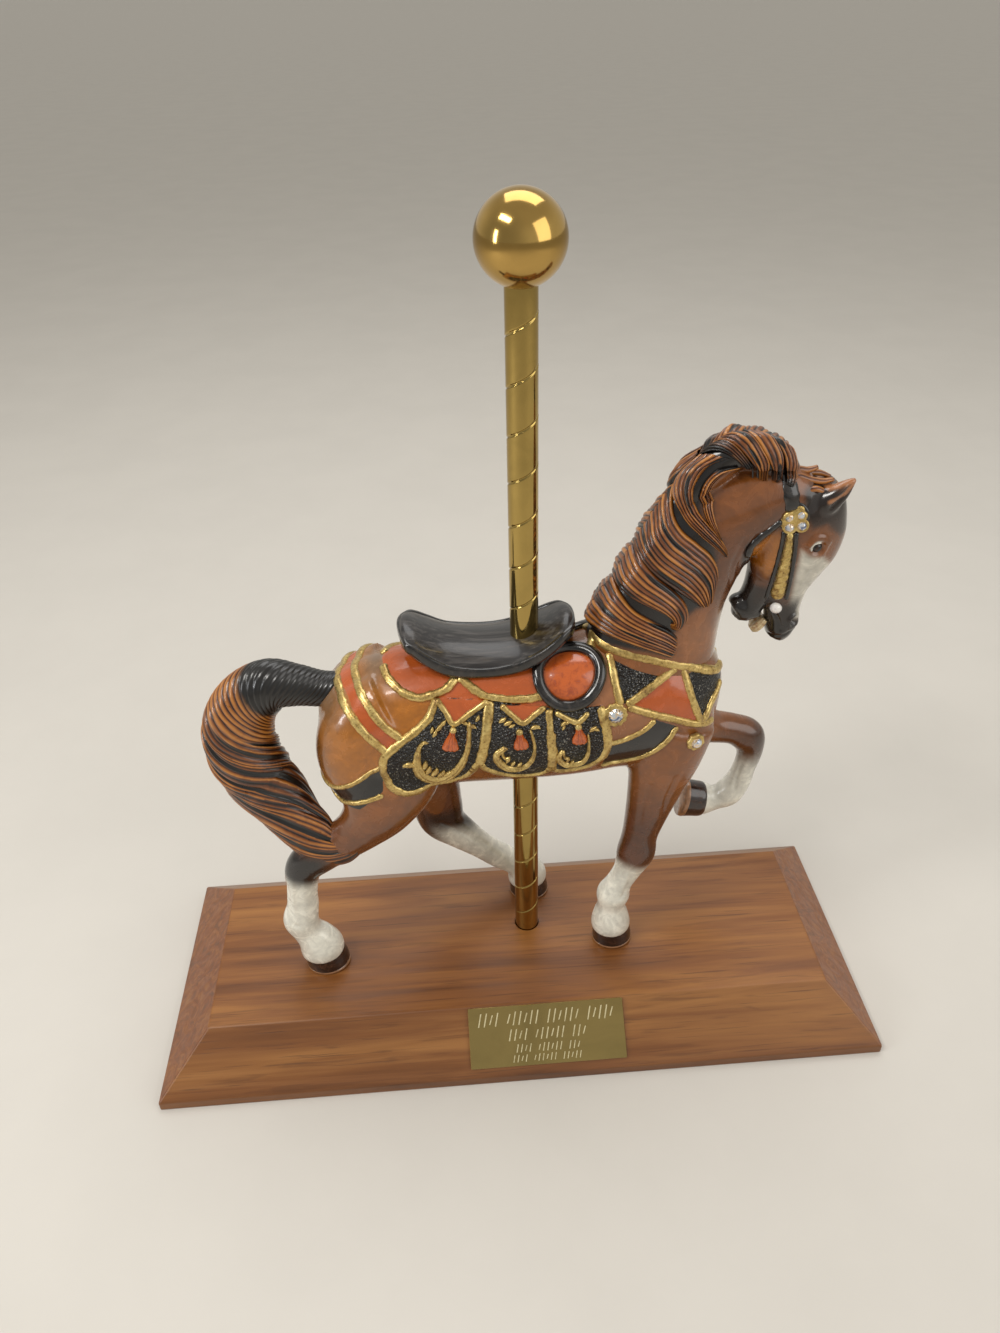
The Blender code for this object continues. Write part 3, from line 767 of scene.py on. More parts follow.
@dataclass
class Skin:
    """A closed surface that trims and hair are laid on, in drawn millimetres."""

    points: Array
    faces: Array
    normals: Array
    tree: BVHTree = field(init=False)

    def __post_init__(self) -> None:
        """Sort the faces for quick searches."""
        self.tree = BVHTree.FromPolygons(self.points.tolist(), self.faces.tolist())

    def nearest(self, spots: Array, even: int = 0) -> tuple[Array, Array]:
        """The nearest points of the surface and the ways out of it, evened along the line.

        Args:
            spots: Points near the surface.
            even: How many times the ways out are evened.

        Returns:
            Both, as arrays.
        """
        found = [self.tree.find_nearest(s) for s in np.asarray(spots, float).tolist()]
        place = np.array([f[0][:] for f in found])
        out = np.array([f[1][:] for f in found])
        for _ in range(even):
            middle = out.copy()
            middle[1:-1] = out[:-2] + out[1:-1] * 2.0 + out[2:]
            out = unit(middle)
        return place, out

    def drop(self, spots: Points, side: int = -1) -> Array:
        """Side-view spots of x and z carried across on to the surface.

        Args:
            spots: The spots.
            side: -1 for the near side, 1 for the far side.

        Returns:
            Points of the surface.
        """
        rows = []
        for x, z in spots:
            hit = self.tree.ray_cast((x, 60.0 * side, z), (0.0, -float(side), 0.0))[0]
            if hit is None:
                hit = self.tree.find_nearest((x, 10.0 * side, z))[0]
            rows.append(hit[:])
        return np.array(rows)


def cast_in_one(limbs: Sequence[Array], grain: float, soften: int) -> Skin:
    """Overlapping limbs cast as one closed surface.

    Args:
        limbs: Rings of points for each limb.
        grain: Size of the casting's cells, in millimetres.
        soften: How many times the surface is relaxed.

    Returns:
        The surface.
    """
    clay = Clay("casting")
    for rings in limbs:
        clay.grid(rings)
    mesh = bpy.data.meshes.new("casting")
    faces = [f for part in clay.quads + clay.triangles for f in part.tolist()]
    mesh.from_pydata(np.concatenate(clay.points).tolist(), [], faces)
    obj = bpy.data.objects.new("casting", mesh)
    put(obj)
    cast = obj.modifiers.new("cast", "REMESH")
    cast.mode = "VOXEL"
    cast.voxel_size = grain
    soft = obj.modifiers.new("soft", "SMOOTH")
    soft.factor = 0.5
    soft.iterations = soften
    done = bpy.data.meshes.new_from_object(obj.evaluated_get(bpy.context.evaluated_depsgraph_get()))
    points = np.zeros(len(done.vertices) * 3)
    done.vertices.foreach_get("co", points)
    quads = np.zeros(len(done.loops), int)
    done.loops.foreach_get("vertex_index", quads)
    normals = np.zeros(len(done.vertices) * 3)
    done.vertex_normals.foreach_get("vector", normals)
    bpy.data.objects.remove(obj)
    return Skin(points.reshape(-1, 3), quads.reshape(-1, 4), normals.reshape(-1, 3))


@dataclass
class Barrel:
    """The horse's barrel unrolled: x along it and the angle down from the spine, near side positive."""

    rows: Points = (
        (-67.5, 0, 128, 5, 8), (-64.8, 0, 128, 12, 16), (-59, 0, 129, 18, 21.5), (-48, 0, 132, 22, 26),
        (-36, 0, 135, 22.5, 26.5), (-20, 0, 136.5, 23, 27), (0, 0, 137, 23.5, 27.5),
        (20, 0, 137.5, 23.5, 27.5), (36, 0, 139, 22.5, 27.5), (51, 0, 138.5, 20, 28),
        (62, 0, 137.5, 16.5, 25.5), (69.5, 0, 136.5, 12, 20.5), (73.6, 0, 136, 6, 12))
    radius: float = 25.0

    def section(self, x: Array) -> list[Array]:
        """Middle height, half width and half depth at x."""
        table = np.array(self.rows)
        return [np.interp(x, table[:, 0], table[:, k]) for k in (2, 3, 4)]

    def unroll(self, points: Array, side: int = -1) -> Array:
        """Points as x and millimetres down from the spine on one side."""
        middle, wide, deep = self.section(points[:, 0])
        angle = np.arctan2(side * points[:, 1] / wide, (points[:, 2] - middle) / deep)
        return np.stack([points[:, 0], angle * self.radius], 1)

    def flat(self, outline: Points) -> list:
        """An outline of x and degrees as flat millimetres."""
        return [(x, math.radians(a) * self.radius) for x, a in outline]

    def spot(self, line: Points, side: int = -1, grow: float = 1.0) -> Array:
        """Points of x and degrees set just outside the barrel.

        Args:
            line: Rows of x and degrees down from the spine.
            side: -1 near, 1 far.
            grow: How far outside.

        Returns:
            The points.
        """
        rows = np.asarray(line, float)
        middle, wide, deep = self.section(rows[:, 0])
        angle = np.radians(rows[:, 1])
        across = side * (wide + grow) * np.sin(angle)
        return np.stack([rows[:, 0], across, middle + (deep + grow) * np.cos(angle)], 1)


BARREL = Barrel()

SCALLOP_REAR = (
    (-42.6, 0), (-42.0, 8), (-40.5, 23), (-36.0, 38), (-30.9, 44), (-25.6, 43), (-21.2, 40), (-17.6, 31))
SCALLOP_FRONT = (
    (-17.6, 31), (-15.4, 36), (-12.3, 43), (-8.3, 49), (-2.1, 52), (4.1, 53), (8.8, 52), (11.6, 50.5))
DROPS = (
    ((-25.0, 46), (-22.0, 57), (-19.6, 66), (-14.1, 59), (-7.8, 51)),
    ((-3.9, 55), (-0.2, 63), (3.1, 69), (6.9, 64), (11.0, 58)),
    ((13.8, 63), (17.4, 68), (21.0, 72), (23.0, 70), (25.0, 66)))
PANEL_REAR = (
    (-25.0, 45), (-28.0, 59), (-33.6, 69), (-39.9, 77), (-43.9, 84), (-44.6, 97), (-42.4, 113),
    (-37.6, 123), (-30.0, 127), (-22.0, 124), (-15.8, 115), (-12.0, 101), (-9.7, 81), (-8.5, 65),
    (-7.4, 51))
PANEL_MIDDLE = (
    (-12.0, 101), (-10.6, 107), (-6.6, 114), (-1.0, 120), (5.0, 122), (9.4, 120), (12.4, 115), (12.9, 100),
    (12.6, 85), (12.2, 60))
PANEL_FRONT = (
    (12.6, 116), (16.0, 119), (21.0, 119), (26.5, 116), (30.6, 108), (32.0, 98), (31.9, 90), (30.6, 75),
    (29.2, 63))
CROUP_REAR = ((-57.2, 0), (-56.4, 14), (-52.7, 41), (-47.9, 63), (-42.3, 82))
CROUP_FRONT = ((-51.6, 0), (-50.6, 17), (-47.2, 40), (-42.6, 58), (-37.0, 74))
CRUPPER_TOP = ((-66.4, 116), (-63.5, 113), (-59.1, 107), (-51.2, 98), (-44.2, 92))
CRUPPER_LOW = ((-65.4, 134), (-62.0, 134), (-55.1, 132), (-45.3, 121))
COLLAR = (
    (25.0, 170.5), (27.6, 168.4), (32.0, 166.4), (40.0, 164.6), (46.7, 163.2), (55.8, 160.0), (64.4, 156.4),
    (70.5, 153.6), (73.4, 152.6))
STRIPS = (
    ((33.0, 164.5), (34.0, 159.0), (35.0, 154.0), (36.0, 150.0)),
    ((37.7, 150.0), (43.4, 153.0), (49.4, 156.2), (55.7, 159.2)),
    ((38.2, 149.6), (45.9, 146.0), (55.0, 141.8), (63.7, 138.0), (70.0, 136.5)),
    ((57.9, 158.6), (59.8, 152.0), (62.2, 145.0), (65.0, 138.0)),
    ((73.2, 148.0), (69.0, 143.0), (65.0, 138.0)))
GIRTH_TOP = ((32.2, 136.0), (35.0, 136.2), (39.3, 137.4), (44.4, 139.8), (48.0, 143.2))
GIRTH_LOW = ((30.6, 123.0), (33.0, 124.4), (39.5, 124.6), (46.3, 126.2), (52.0, 131.6), (56.4, 138.2))
PANELS = (PANEL_REAR, PANEL_MIDDLE + ((-7.4, 51),), PANEL_FRONT + ((13, 62),))
COLLAR_FIELDS = (
    ((33.4, 166.4), (40.0, 165.0), (56.4, 160.4), (55.4, 158.6), (36.6, 150.6)),
    ((58.2, 159.6), (66, 156.4), (75, 152.8), (74.5, 149), (65.4, 139.4)))
MEDALLION = (19.4, 36.5)


@dataclass
class HorseShape:
    """Stations of the horse's limbs: x, y, z, half width across and half depth."""

    neck: Points = (
        (43, 0, 136, 19, 25), (48, 0, 156, 15.5, 23.5), (51, 0, 171, 13, 21.5), (56, 0, 186, 11.5, 19),
        (63, 0, 199.5, 10.5, 18), (74, 0, 208.5, 10, 15), (85, 0, 214.5, 9, 10.5), (93, 0, 213, 8, 8.5))
    head: Points = (
        (94, 0, 217, 7, 9), (95.3, 0, 211, 9, 12.6), (95, 0, 204, 9.7, 14.6), (94.5, 0, 197, 9.4, 14.4),
        (93.2, 0, 190, 8.4, 12.5), (92.4, 0, 182, 6.9, 9.2), (92.9, 0, 175, 6.1, 6.6),
        (93.3, 0, 169, 6.3, 5.6), (93.0, 0, 164.4, 5.9, 4.9), (92.2, 0, 161.4, 4.4, 3.4))
    jaw: Points = (
        (87, 0, 190, 6.3, 7.4), (84.6, 0, 181, 5.4, 5.6), (82.3, 0, 175.4, 4.9, 4.9),
        (80.2, 0, 172.0, 4.6, 4.5), (79.4, 0, 169.6, 3.6, 3.2))
    lip: Points = (
        (85.2, 0, 171.6, 3.8, 2.0), (82.4, 0, 172.4, 4.5, 3.9), (79.6, 0, 173.3, 4.8, 4.9),
        (77.8, 0, 173.6, 4.5, 4.6), (76.6, 0, 173.0, 3.6, 3.2))
    ear: Points = (
        (96.5, -4.8, 210.0, 3.6, 4.4), (99.4, -5.8, 213.2, 3.7, 4.2), (102.3, -6.4, 216.4, 3.2, 3.4),
        (104.9, -6.7, 219.2, 2.1, 2.1), (106.9, -6.8, 221.4, 0.6, 0.6))
    far_ear: Points = (
        (96, 4.5, 210, 3.4, 3.2), (99.3, 5.5, 212.2, 3.1, 2.5), (102.2, 6, 214, 2.1, 1.6),
        (104.8, 6, 215.6, 0.7, 0.6))
    near_fore: Points = (
        (58, -12, 134, 8, 14), (55, -12, 119, 8.2, 13), (52.5, -11.5, 105, 7.5, 10.4),
        (50.3, -11, 92, 6.8, 8.2), (48.4, -10.7, 80, 6.0, 6.9), (47.4, -10.7, 70.5, 6.4, 7.5),
        (44.8, -10.7, 61.5, 5.0, 5.6), (41.6, -10.7, 54, 4.8, 5.3), (39.7, -10.7, 48.2, 6.0, 6.8),
        (39.2, -10.7, 42.4, 5.2, 5.7), (39.1, -10.7, 37.4, 6.3, 6.9), (39.2, -10.7, 32.6, 7.3, 7.9),
        (39.3, -10.7, 29.4, 7.2, 7.8), (39.3, -10.7, 28.0, 6.2, 6.8))
    near_hind: Points = (
        (-46, -11, 134, 9, 18), (-44.5, -12.3, 119, 9.8, 19), (-48.7, -12.9, 105.5, 9.5, 14),
        (-55.5, -13, 96, 8, 9.6), (-64.5, -12.8, 88.5, 6.8, 8), (-73, -12.7, 83, 6.5, 8),
        (-79.3, -12.7, 76.4, 5.8, 7.0), (-81.3, -12.7, 66, 5.1, 6.0), (-82.4, -12.7, 56, 5.0, 6.2),
        (-84.2, -12.7, 48.0, 5.9, 7.0), (-82.4, -12.7, 41.8, 5.5, 6.3), (-79.8, -12.7, 37.0, 6.8, 7.6),
        (-78.2, -12.7, 32.6, 7.9, 8.8), (-77.7, -12.7, 29.4, 7.7, 8.6), (-77.6, -12.7, 28.0, 6.6, 7.4))
    far_hind: Points = (
        (-46, 9, 134, 9, 16), (-42, 11, 120, 9.5, 15), (-35, 13, 105, 9, 13.5), (-30.5, 14.5, 90, 8, 11.5),
        (-28.5, 15, 79, 7, 10.2), (-26.6, 15.5, 69, 6.4, 9.3), (-19.6, 16.3, 60.2, 5.2, 7.6),
        (-11.3, 17, 51.4, 4.7, 6.0), (-4.0, 17.4, 44.6, 5.0, 5.9), (2.0, 17.8, 39.6, 4.9, 5.5),
        (6.0, 17.8, 36.0, 6.4, 7.2), (7.5, 17.8, 32.2, 7.2, 8.4), (7.9, 17.8, 29.2, 7.0, 8.2),
        (8.0, 17.8, 28.0, 6.0, 7.2))
    far_fore: Points = (
        (60, 9, 128, 8, 13), (68, 11, 117.5, 7.5, 10), (78, 12.5, 112, 6.2, 7), (87, 13, 109.5, 5.8, 6.2),
        (93.3, 13, 105.6, 6.2, 6.9), (95.5, 13, 98, 4.7, 5.2), (94.3, 13, 89.5, 4.3, 4.6),
        (92.5, 13, 82, 4.7, 5.3), (89.2, 13.2, 76.0, 5.4, 5.9), (84.5, 13.6, 73.2, 4.7, 5.2),
        (80.4, 13.8, 72.9, 6.0, 6.9), (77.4, 13.9, 73.1, 6.5, 7.3))
    collarbone: Points = (
        (48, -9, 150, 9, 12), (56, -9.5, 142, 9.5, 12), (61, -9.5, 132, 8.5, 11), (60, -10, 122, 7.5, 9))
    haunch: Points = (
        (-40, -8, 146, 13, 15), (-50, -9, 140, 13.5, 15), (-54, -9.6, 128, 12.8, 14),
        (-51, -10, 114, 10.5, 12))

    def body(self) -> list[Array]:
        """Cast the barrel, the lower neck and the legs.

        Returns:
            Rings of each limb.
        """
        stub = [(x, y, z, wide - 0.8, deep - 0.8) for x, y, z, wide, deep in self.neck[:3]]
        pieces = [tube(BARREL.rows, 40), tube(stub, 36)]
        pieces += [tube(r, 30) for r in (self.near_fore, self.near_hind, self.far_hind, self.far_fore)]
        pieces += [tube(r, 28) for rows in (self.collarbone, self.haunch) for r in (rows, flip(rows))]
        return pieces

    def neck_and_head(self) -> list[Array]:
        """Neck, head, jaws and ears."""
        return [tube(self.neck[1:], 48), tube(self.head, 44), tube(self.jaw, 28), tube(self.lip, 24),
                tube(self.ear, 20), tube(self.far_ear, 20)]


@dataclass
class Coat:
    """The colours brushed over the casting, with painted shade and sheen in places, worked out at each point.
    """

    brown: Colour = paint(128, 76, 35)
    bark: Colour = paint(82, 46, 26)
    amber: Colour = paint(168, 102, 30)
    black: Colour = paint(24, 18, 16)
    grey: Colour = paint(118, 100, 80)
    white: Colour = paint(226, 222, 208)
    blaze: Colour = paint(196, 190, 176)
    tan: Colour = paint(176, 118, 78)
    brow: Points = (
        (90, 219), (91, 211), (94.5, 204.5), (99.5, 206.0), (102.8, 202.5), (106.5, 200), (114, 204),
        (112, 222), (96, 226))
    profile: Points = ((109.9, 206), (109.6, 199), (107, 193), (104, 187), (101.6, 182))
    blaze_field: Points = (
        (92.4, 199.5), (96.5, 197.0), (101.5, 195.5), (105.4, 191.0), (102.2, 184.5), (100.2, 177.0),
        (99.8, 169.5), (95.6, 169.5), (93.0, 177), (92.2, 188))
    cheek_field: Points = (
        (86.2, 206.0), (83.0, 204.0), (78.9, 200.5), (77.2, 197.0), (79.4, 191.6), (84.0, 187.4),
        (86.6, 188.0), (87.3, 198))
    jaw_line: Points = ((76.2, 201), (76.2, 196), (77.6, 190.5), (79.2, 186.0), (79.6, 181.0), (79.0, 174))
    chin_field: Points = ((74, 186), (86, 184), (89, 178), (88, 164), (74, 164))
    ear_line: Points = ((99.2, 215.0), (104.0, 217.4), (107.2, 221.0), (103, 220.4), (99, 218.6))

    def start(self, points: Array) -> Array:
        """Brown all over."""
        return np.tile(np.array(self.brown), (len(points), 1))

    def lay(self, colours: Array, shade: Colour, share: Array) -> None:
        """Brush a shade over the colours where its share says."""
        colours += (np.array(shade) - colours) * np.clip(share, 0.0, 1.0)[:, None]

    def blob(self, points: Array, middle: Sequence[float], reach: Sequence[float]) -> Array:
        """A soft round patch, 1 at its middle."""
        gap = (points - np.asarray(middle, float)) / np.asarray(reach, float)
        return np.exp(-(gap ** 2).sum(1))

    def body(self, skin: Skin) -> Array:
        """Colours of the barrel, the lower neck and the legs.

        Args:
            skin: The body's surface.

        Returns:
            One colour for each point.
        """
        p = skin.points
        x, y, z = p.T
        out = self.start(p)
        brush = partial(self.lay, out)
        near = np.abs(y)
        # Painted shade: darker brown under the belly.
        brush(self.bark, 0.55 * ease(122, 108, z) * ease(-40, -20, x) * ease(50, 30, x))
        brush(self.amber, ease(-22, -30, x) * ease(114, 126, z) * 0.95)
        # Grey patches on the top of the croup: partly the paint's own grey, partly painted sheen.
        brush(self.grey, 0.85 * self.blob(p, (-62, 0, 151), (9, 22, 9)))
        brush(self.grey, 0.9 * self.blob(p, (-45, 0, 163), (5.5, 17, 9)))
        # Painted shade: black at the rear of the buttocks, below the tail.
        brush(self.black, 0.95 * self.blob(p, (-66, 0, 133), (5.0, 22, 12)))
        brush(self.tan, 0.55 * ease(20, 34, x) * ease(136, 146, z) * ease(62, 46, x))
        brush(self.white, 0.85 * ease(66, 73, x + (z - 160) * 0.15) * ease(150, 160, z)
              * ease(9, 3, near))
        fore = (x > 25) & (y < 2) & (z < 112)
        brush(self.black, fore * 0.85 * ease(6.0, 0.5, np.abs(z - 76 + 0.35 * (x - 47)))
              * ease(42, 52, x))
        brush(self.bark, fore * 0.95 * ease(114, 88, z))
        brush(self.black, fore * 0.70 * self.blob(p, (54, -8, 74), (5, 12, 7)))
        brush(self.white, fore * ease(71, 64, z + 0.25 * (x - 44)))
        hind = (x < -56) & (y < 4) & (z < 104)
        brush(self.bark, (x < -30) * (y < 6) * 0.50 * ease(112, 96, z))
        brush(self.black, hind * ease(-62, -74, x) * ease(92, 84, z))
        brush(self.white, hind * ease(76, 68, z + 0.2 * (x + 80)))
        back = (x > -62) & (x < 20) & (y > 8) & (z < 104)
        brush(self.bark, back * 0.75 * ease(108, 88, z))
        brush(self.black, back * 0.9 * ease(84, 76, z) * ease(-40, -30, x))
        brush(self.white, back * ease(72, 64, z + 0.45 * (x + 22)) * ease(-34, -22, x))
        lifted = (x > 62) & (y > 3) & (z < 122)
        brush(self.bark, lifted * 0.7 * ease(118, 108, z) * ease(70, 84, x))
        brush(self.black, lifted * 0.9 * self.blob(p, (97, 13, 106), (5.5, 9, 7)))
        brush(self.white, lifted * ease(102, 90, z) * ease(66, 74, x))
        brush(self.black, lifted * 0.55 * self.blob(p, (99, 9, 94), (3, 7, 10)))
        return out

    def head(self, skin: Skin) -> Array:
        """Colours of the neck and the head.

        Args:
            skin: Their surface.

        Returns:
            One colour for each point.
        """
        p = skin.points
        x, y, z = p.T
        side = np.stack([x, z], 1)
        out = self.start(p)
        brush = partial(self.lay, out)
        near = np.abs(y)
        # Painted shade: darker brown and black at the throat, behind and under the jaw where the head meets
        # the neck.
        brush(self.bark, 0.85 * self.blob(p, (76, 0, 196), (15, 30, 17)))
        brush(self.black, 0.45 * self.blob(p, (81, 0, 206), (7, 30, 9)))
        brush(self.black, 0.35 * self.blob(p, (68, 0, 184), (4, 30, 8)))
        brush(self.white, 0.85 * ease(64, 72, x + (z - 165) * 0.25) * ease(184, 168, z)
              * ease(9, 2, near))
        brush(self.tan, 0.45 * self.blob(p, (60, 0, 168), (9, 30, 10)))
        skull = ease(78, 86, x) * ease(222, 217, z) * (x + z > 262)
        brush(self.bark, 0.45 * skull)
        brush(self.black, skull * ease(0.0, 2.5, field_depth(side, self.brow)) * 0.96)
        brush(self.black, skull * ease(1.2, -0.6, line_distance(side, self.profile)) * 0.9
              * ease(5, 2, near))
        brush(self.brown, 0.9 * self.blob(p, (98.5, 0, 198.5), (6.0, 30, 6.0)) * ease(91, 93, x))
        brush(self.blaze, ease(-0.8, 1.8, field_depth(side, self.blaze_field)))
        brush(self.amber, ease(-1.0, 1.6, field_depth(side, self.cheek_field)))
        muzzle = x > 73.5
        brush(self.black, muzzle * 0.96 * ease(182, 175, z) * ease(97.4, 94.8, x - (z - 168) * 0.10))
        brush(self.black, muzzle * 0.96 * ease(171.5, 168.5, z))
        rim = np.abs(np.hypot(x - EYE[0], z - EYE[1]) - 2.2)
        brush(self.white, ease(0.9, 0.3, rim) * ease(199.0, 200.4, z) * ease(99.6, 97.6, x)
              * (x > 94))
        brush(self.black, 0.95 * ease(2.6, 0.6, line_distance(side, self.jaw_line))
              * ease(206, 202, z))
        brush(self.black, 0.9 * ease(-1.0, 2.0, field_depth(side, self.chin_field)))
        brush(self.black, 0.5 * self.blob(p, (88, 0, 184), (2.6, 30, 5)))
        brush(self.tan, 0.85 * ease(1.0, 0.3, line_distance(side, self.ear_line)) * (z > 212))
        return out


def widen(painted: Array, here: Array, depth: Array) -> Array:
    """A painted field with another outline's depth joined to it at some points."""
    return np.where(here, np.maximum(painted, depth), painted)


@dataclass
class HorseBody:
    """Barrel, lower neck and legs, with the enamel fields of the trappings."""

    shape: HorseShape
    coat: Coat
    grain: float = 0.77
    soften: int = 9
    cloth: float = 0.9
    groove: float = 0.45
    creases: Sequence[tuple[int, Points]] = (
        (-1, ((-86.4, 70), (-86.4, 60), (-86.8, 52), (-84.6, 50))),
        (-1, ((42.6, 66), (40.4, 58), (40.0, 52.5), (42.2, 50.4), (44.0, 55), (45.2, 61), (45.0, 66))),
        (-1, ((57.6, 116), (55.0, 104), (54.6, 92), (53.6, 84))),
        (-1, ((49.0, 112), (47.0, 100), (46.6, 90))), (-1, ((-36, 104), (-44, 96), (-54, 91), (-64, 84))),
        (1, ((92.6, 97), (91.0, 89), (90.2, 82))), (1, ((-27, 74), (-18, 64), (-9, 55))))

    def relief(self, skin: Skin, flat: dict[int, Array]) -> Array:
        """How far each point moves out along its normal.

        Args:
            skin: The cast surface.
            flat: Its points unrolled, for each side.

        Returns:
            One distance for each point, in millimetres.
        """
        p = skin.points
        side_view = p[:, [0, 2]]
        out = np.zeros(len(p))
        for side, spots in flat.items():
            here = side * p[:, 1] > 0
            for outline in PANELS:
                depth = field_depth(spots, BARREL.flat(outline))
                out += here * self.cloth * ease(-0.6, 0.8, depth) * (p[:, 2] > 105)
            seat = field_depth(spots, BARREL.flat(SCALLOP_REAR + SCALLOP_FRONT + ((10, 0),)))
            out += here * 0.5 * ease(-0.5, 0.6, seat)
        for side, line in self.creases:
            gap = line_distance(side_view, smooth_line(line, 30))
            out -= (side * p[:, 1] > 0) * self.groove * np.exp(-(gap / 0.75) ** 2)
        return out

    def build(self, finish: Material) -> tuple[Thing, Skin]:
        """Make the painted body.

        Args:
            finish: The coat's material.

        Returns:
            The object and its skin, for the trims that lie on it.
        """
        skin = cast_in_one(self.shape.body(), self.grain, self.soften)
        flat = {side: BARREL.unroll(skin.points, side) for side in (-1, 1)}
        p = skin.points
        on_barrel = (p[:, 2] > 112) & (p[:, 0] < 74)
        orange = np.full(len(p), OUTSIDE)
        glitter = np.full(len(p), OUTSIDE)
        black = np.full(len(p), OUTSIDE)
        side_view = p[:, [0, 2]]
        for side, spots in flat.items():
            here = on_barrel & (side * p[:, 1] >= -0.6)
            blanket = SCALLOP_REAR[:5] + DROPS[0] + DROPS[1] + ((14, 50), (14, 0))
            band = CROUP_REAR + tuple(reversed(CROUP_FRONT))
            for outline in (blanket, band):
                orange = widen(orange, here, field_depth(spots, BARREL.flat(outline)))
            collar = field_depth(side_view, ((38.0, 149.6), (56.5, 158.6), (58.2, 157.5), (65.0, 138.4)))
            orange = widen(orange, here, collar)
            girth = CRUPPER_TOP + ((-45.3, 115), (-55.1, 127), (-62.0, 132), (-65.4, 133))
            black = widen(black, here, field_depth(spots, BARREL.flat(girth)))
            under = field_depth(side_view, GIRTH_TOP + tuple(reversed(GIRTH_LOW)))
            black = widen(black, here & (p[:, 0] > 28), under)
            for outline in PANELS:
                depth = np.minimum(field_depth(spots, BARREL.flat(outline)), 3.0)
                glitter = widen(glitter, here, depth)
            for outline in COLLAR_FIELDS:
                glitter = widen(glitter, here, field_depth(side_view, outline))
        colours = self.coat.body(skin)
        move = self.relief(skin, flat)
        orange = np.where(glitter > 0, np.minimum(orange, -glitter), orange)
        for side in (-1, 1):
            for drop in DROPS[:2]:
                wedge = field_depth(flat[side], BARREL.flat(drop))
                inside = (side * p[:, 1] > 0) & (wedge > -0.2)
                orange = np.where(inside, wedge, orange)
                glitter = np.where(inside, np.minimum(glitter, -wedge), glitter)
        moved = Skin(p + skin.normals * move[:, None], skin.faces, skin.normals)
        clay = Clay("horse_body")
        clay.solid(moved.points, moved.faces, orange=orange, glitter=glitter, black=black)
        return clay.build(finish, colours), moved


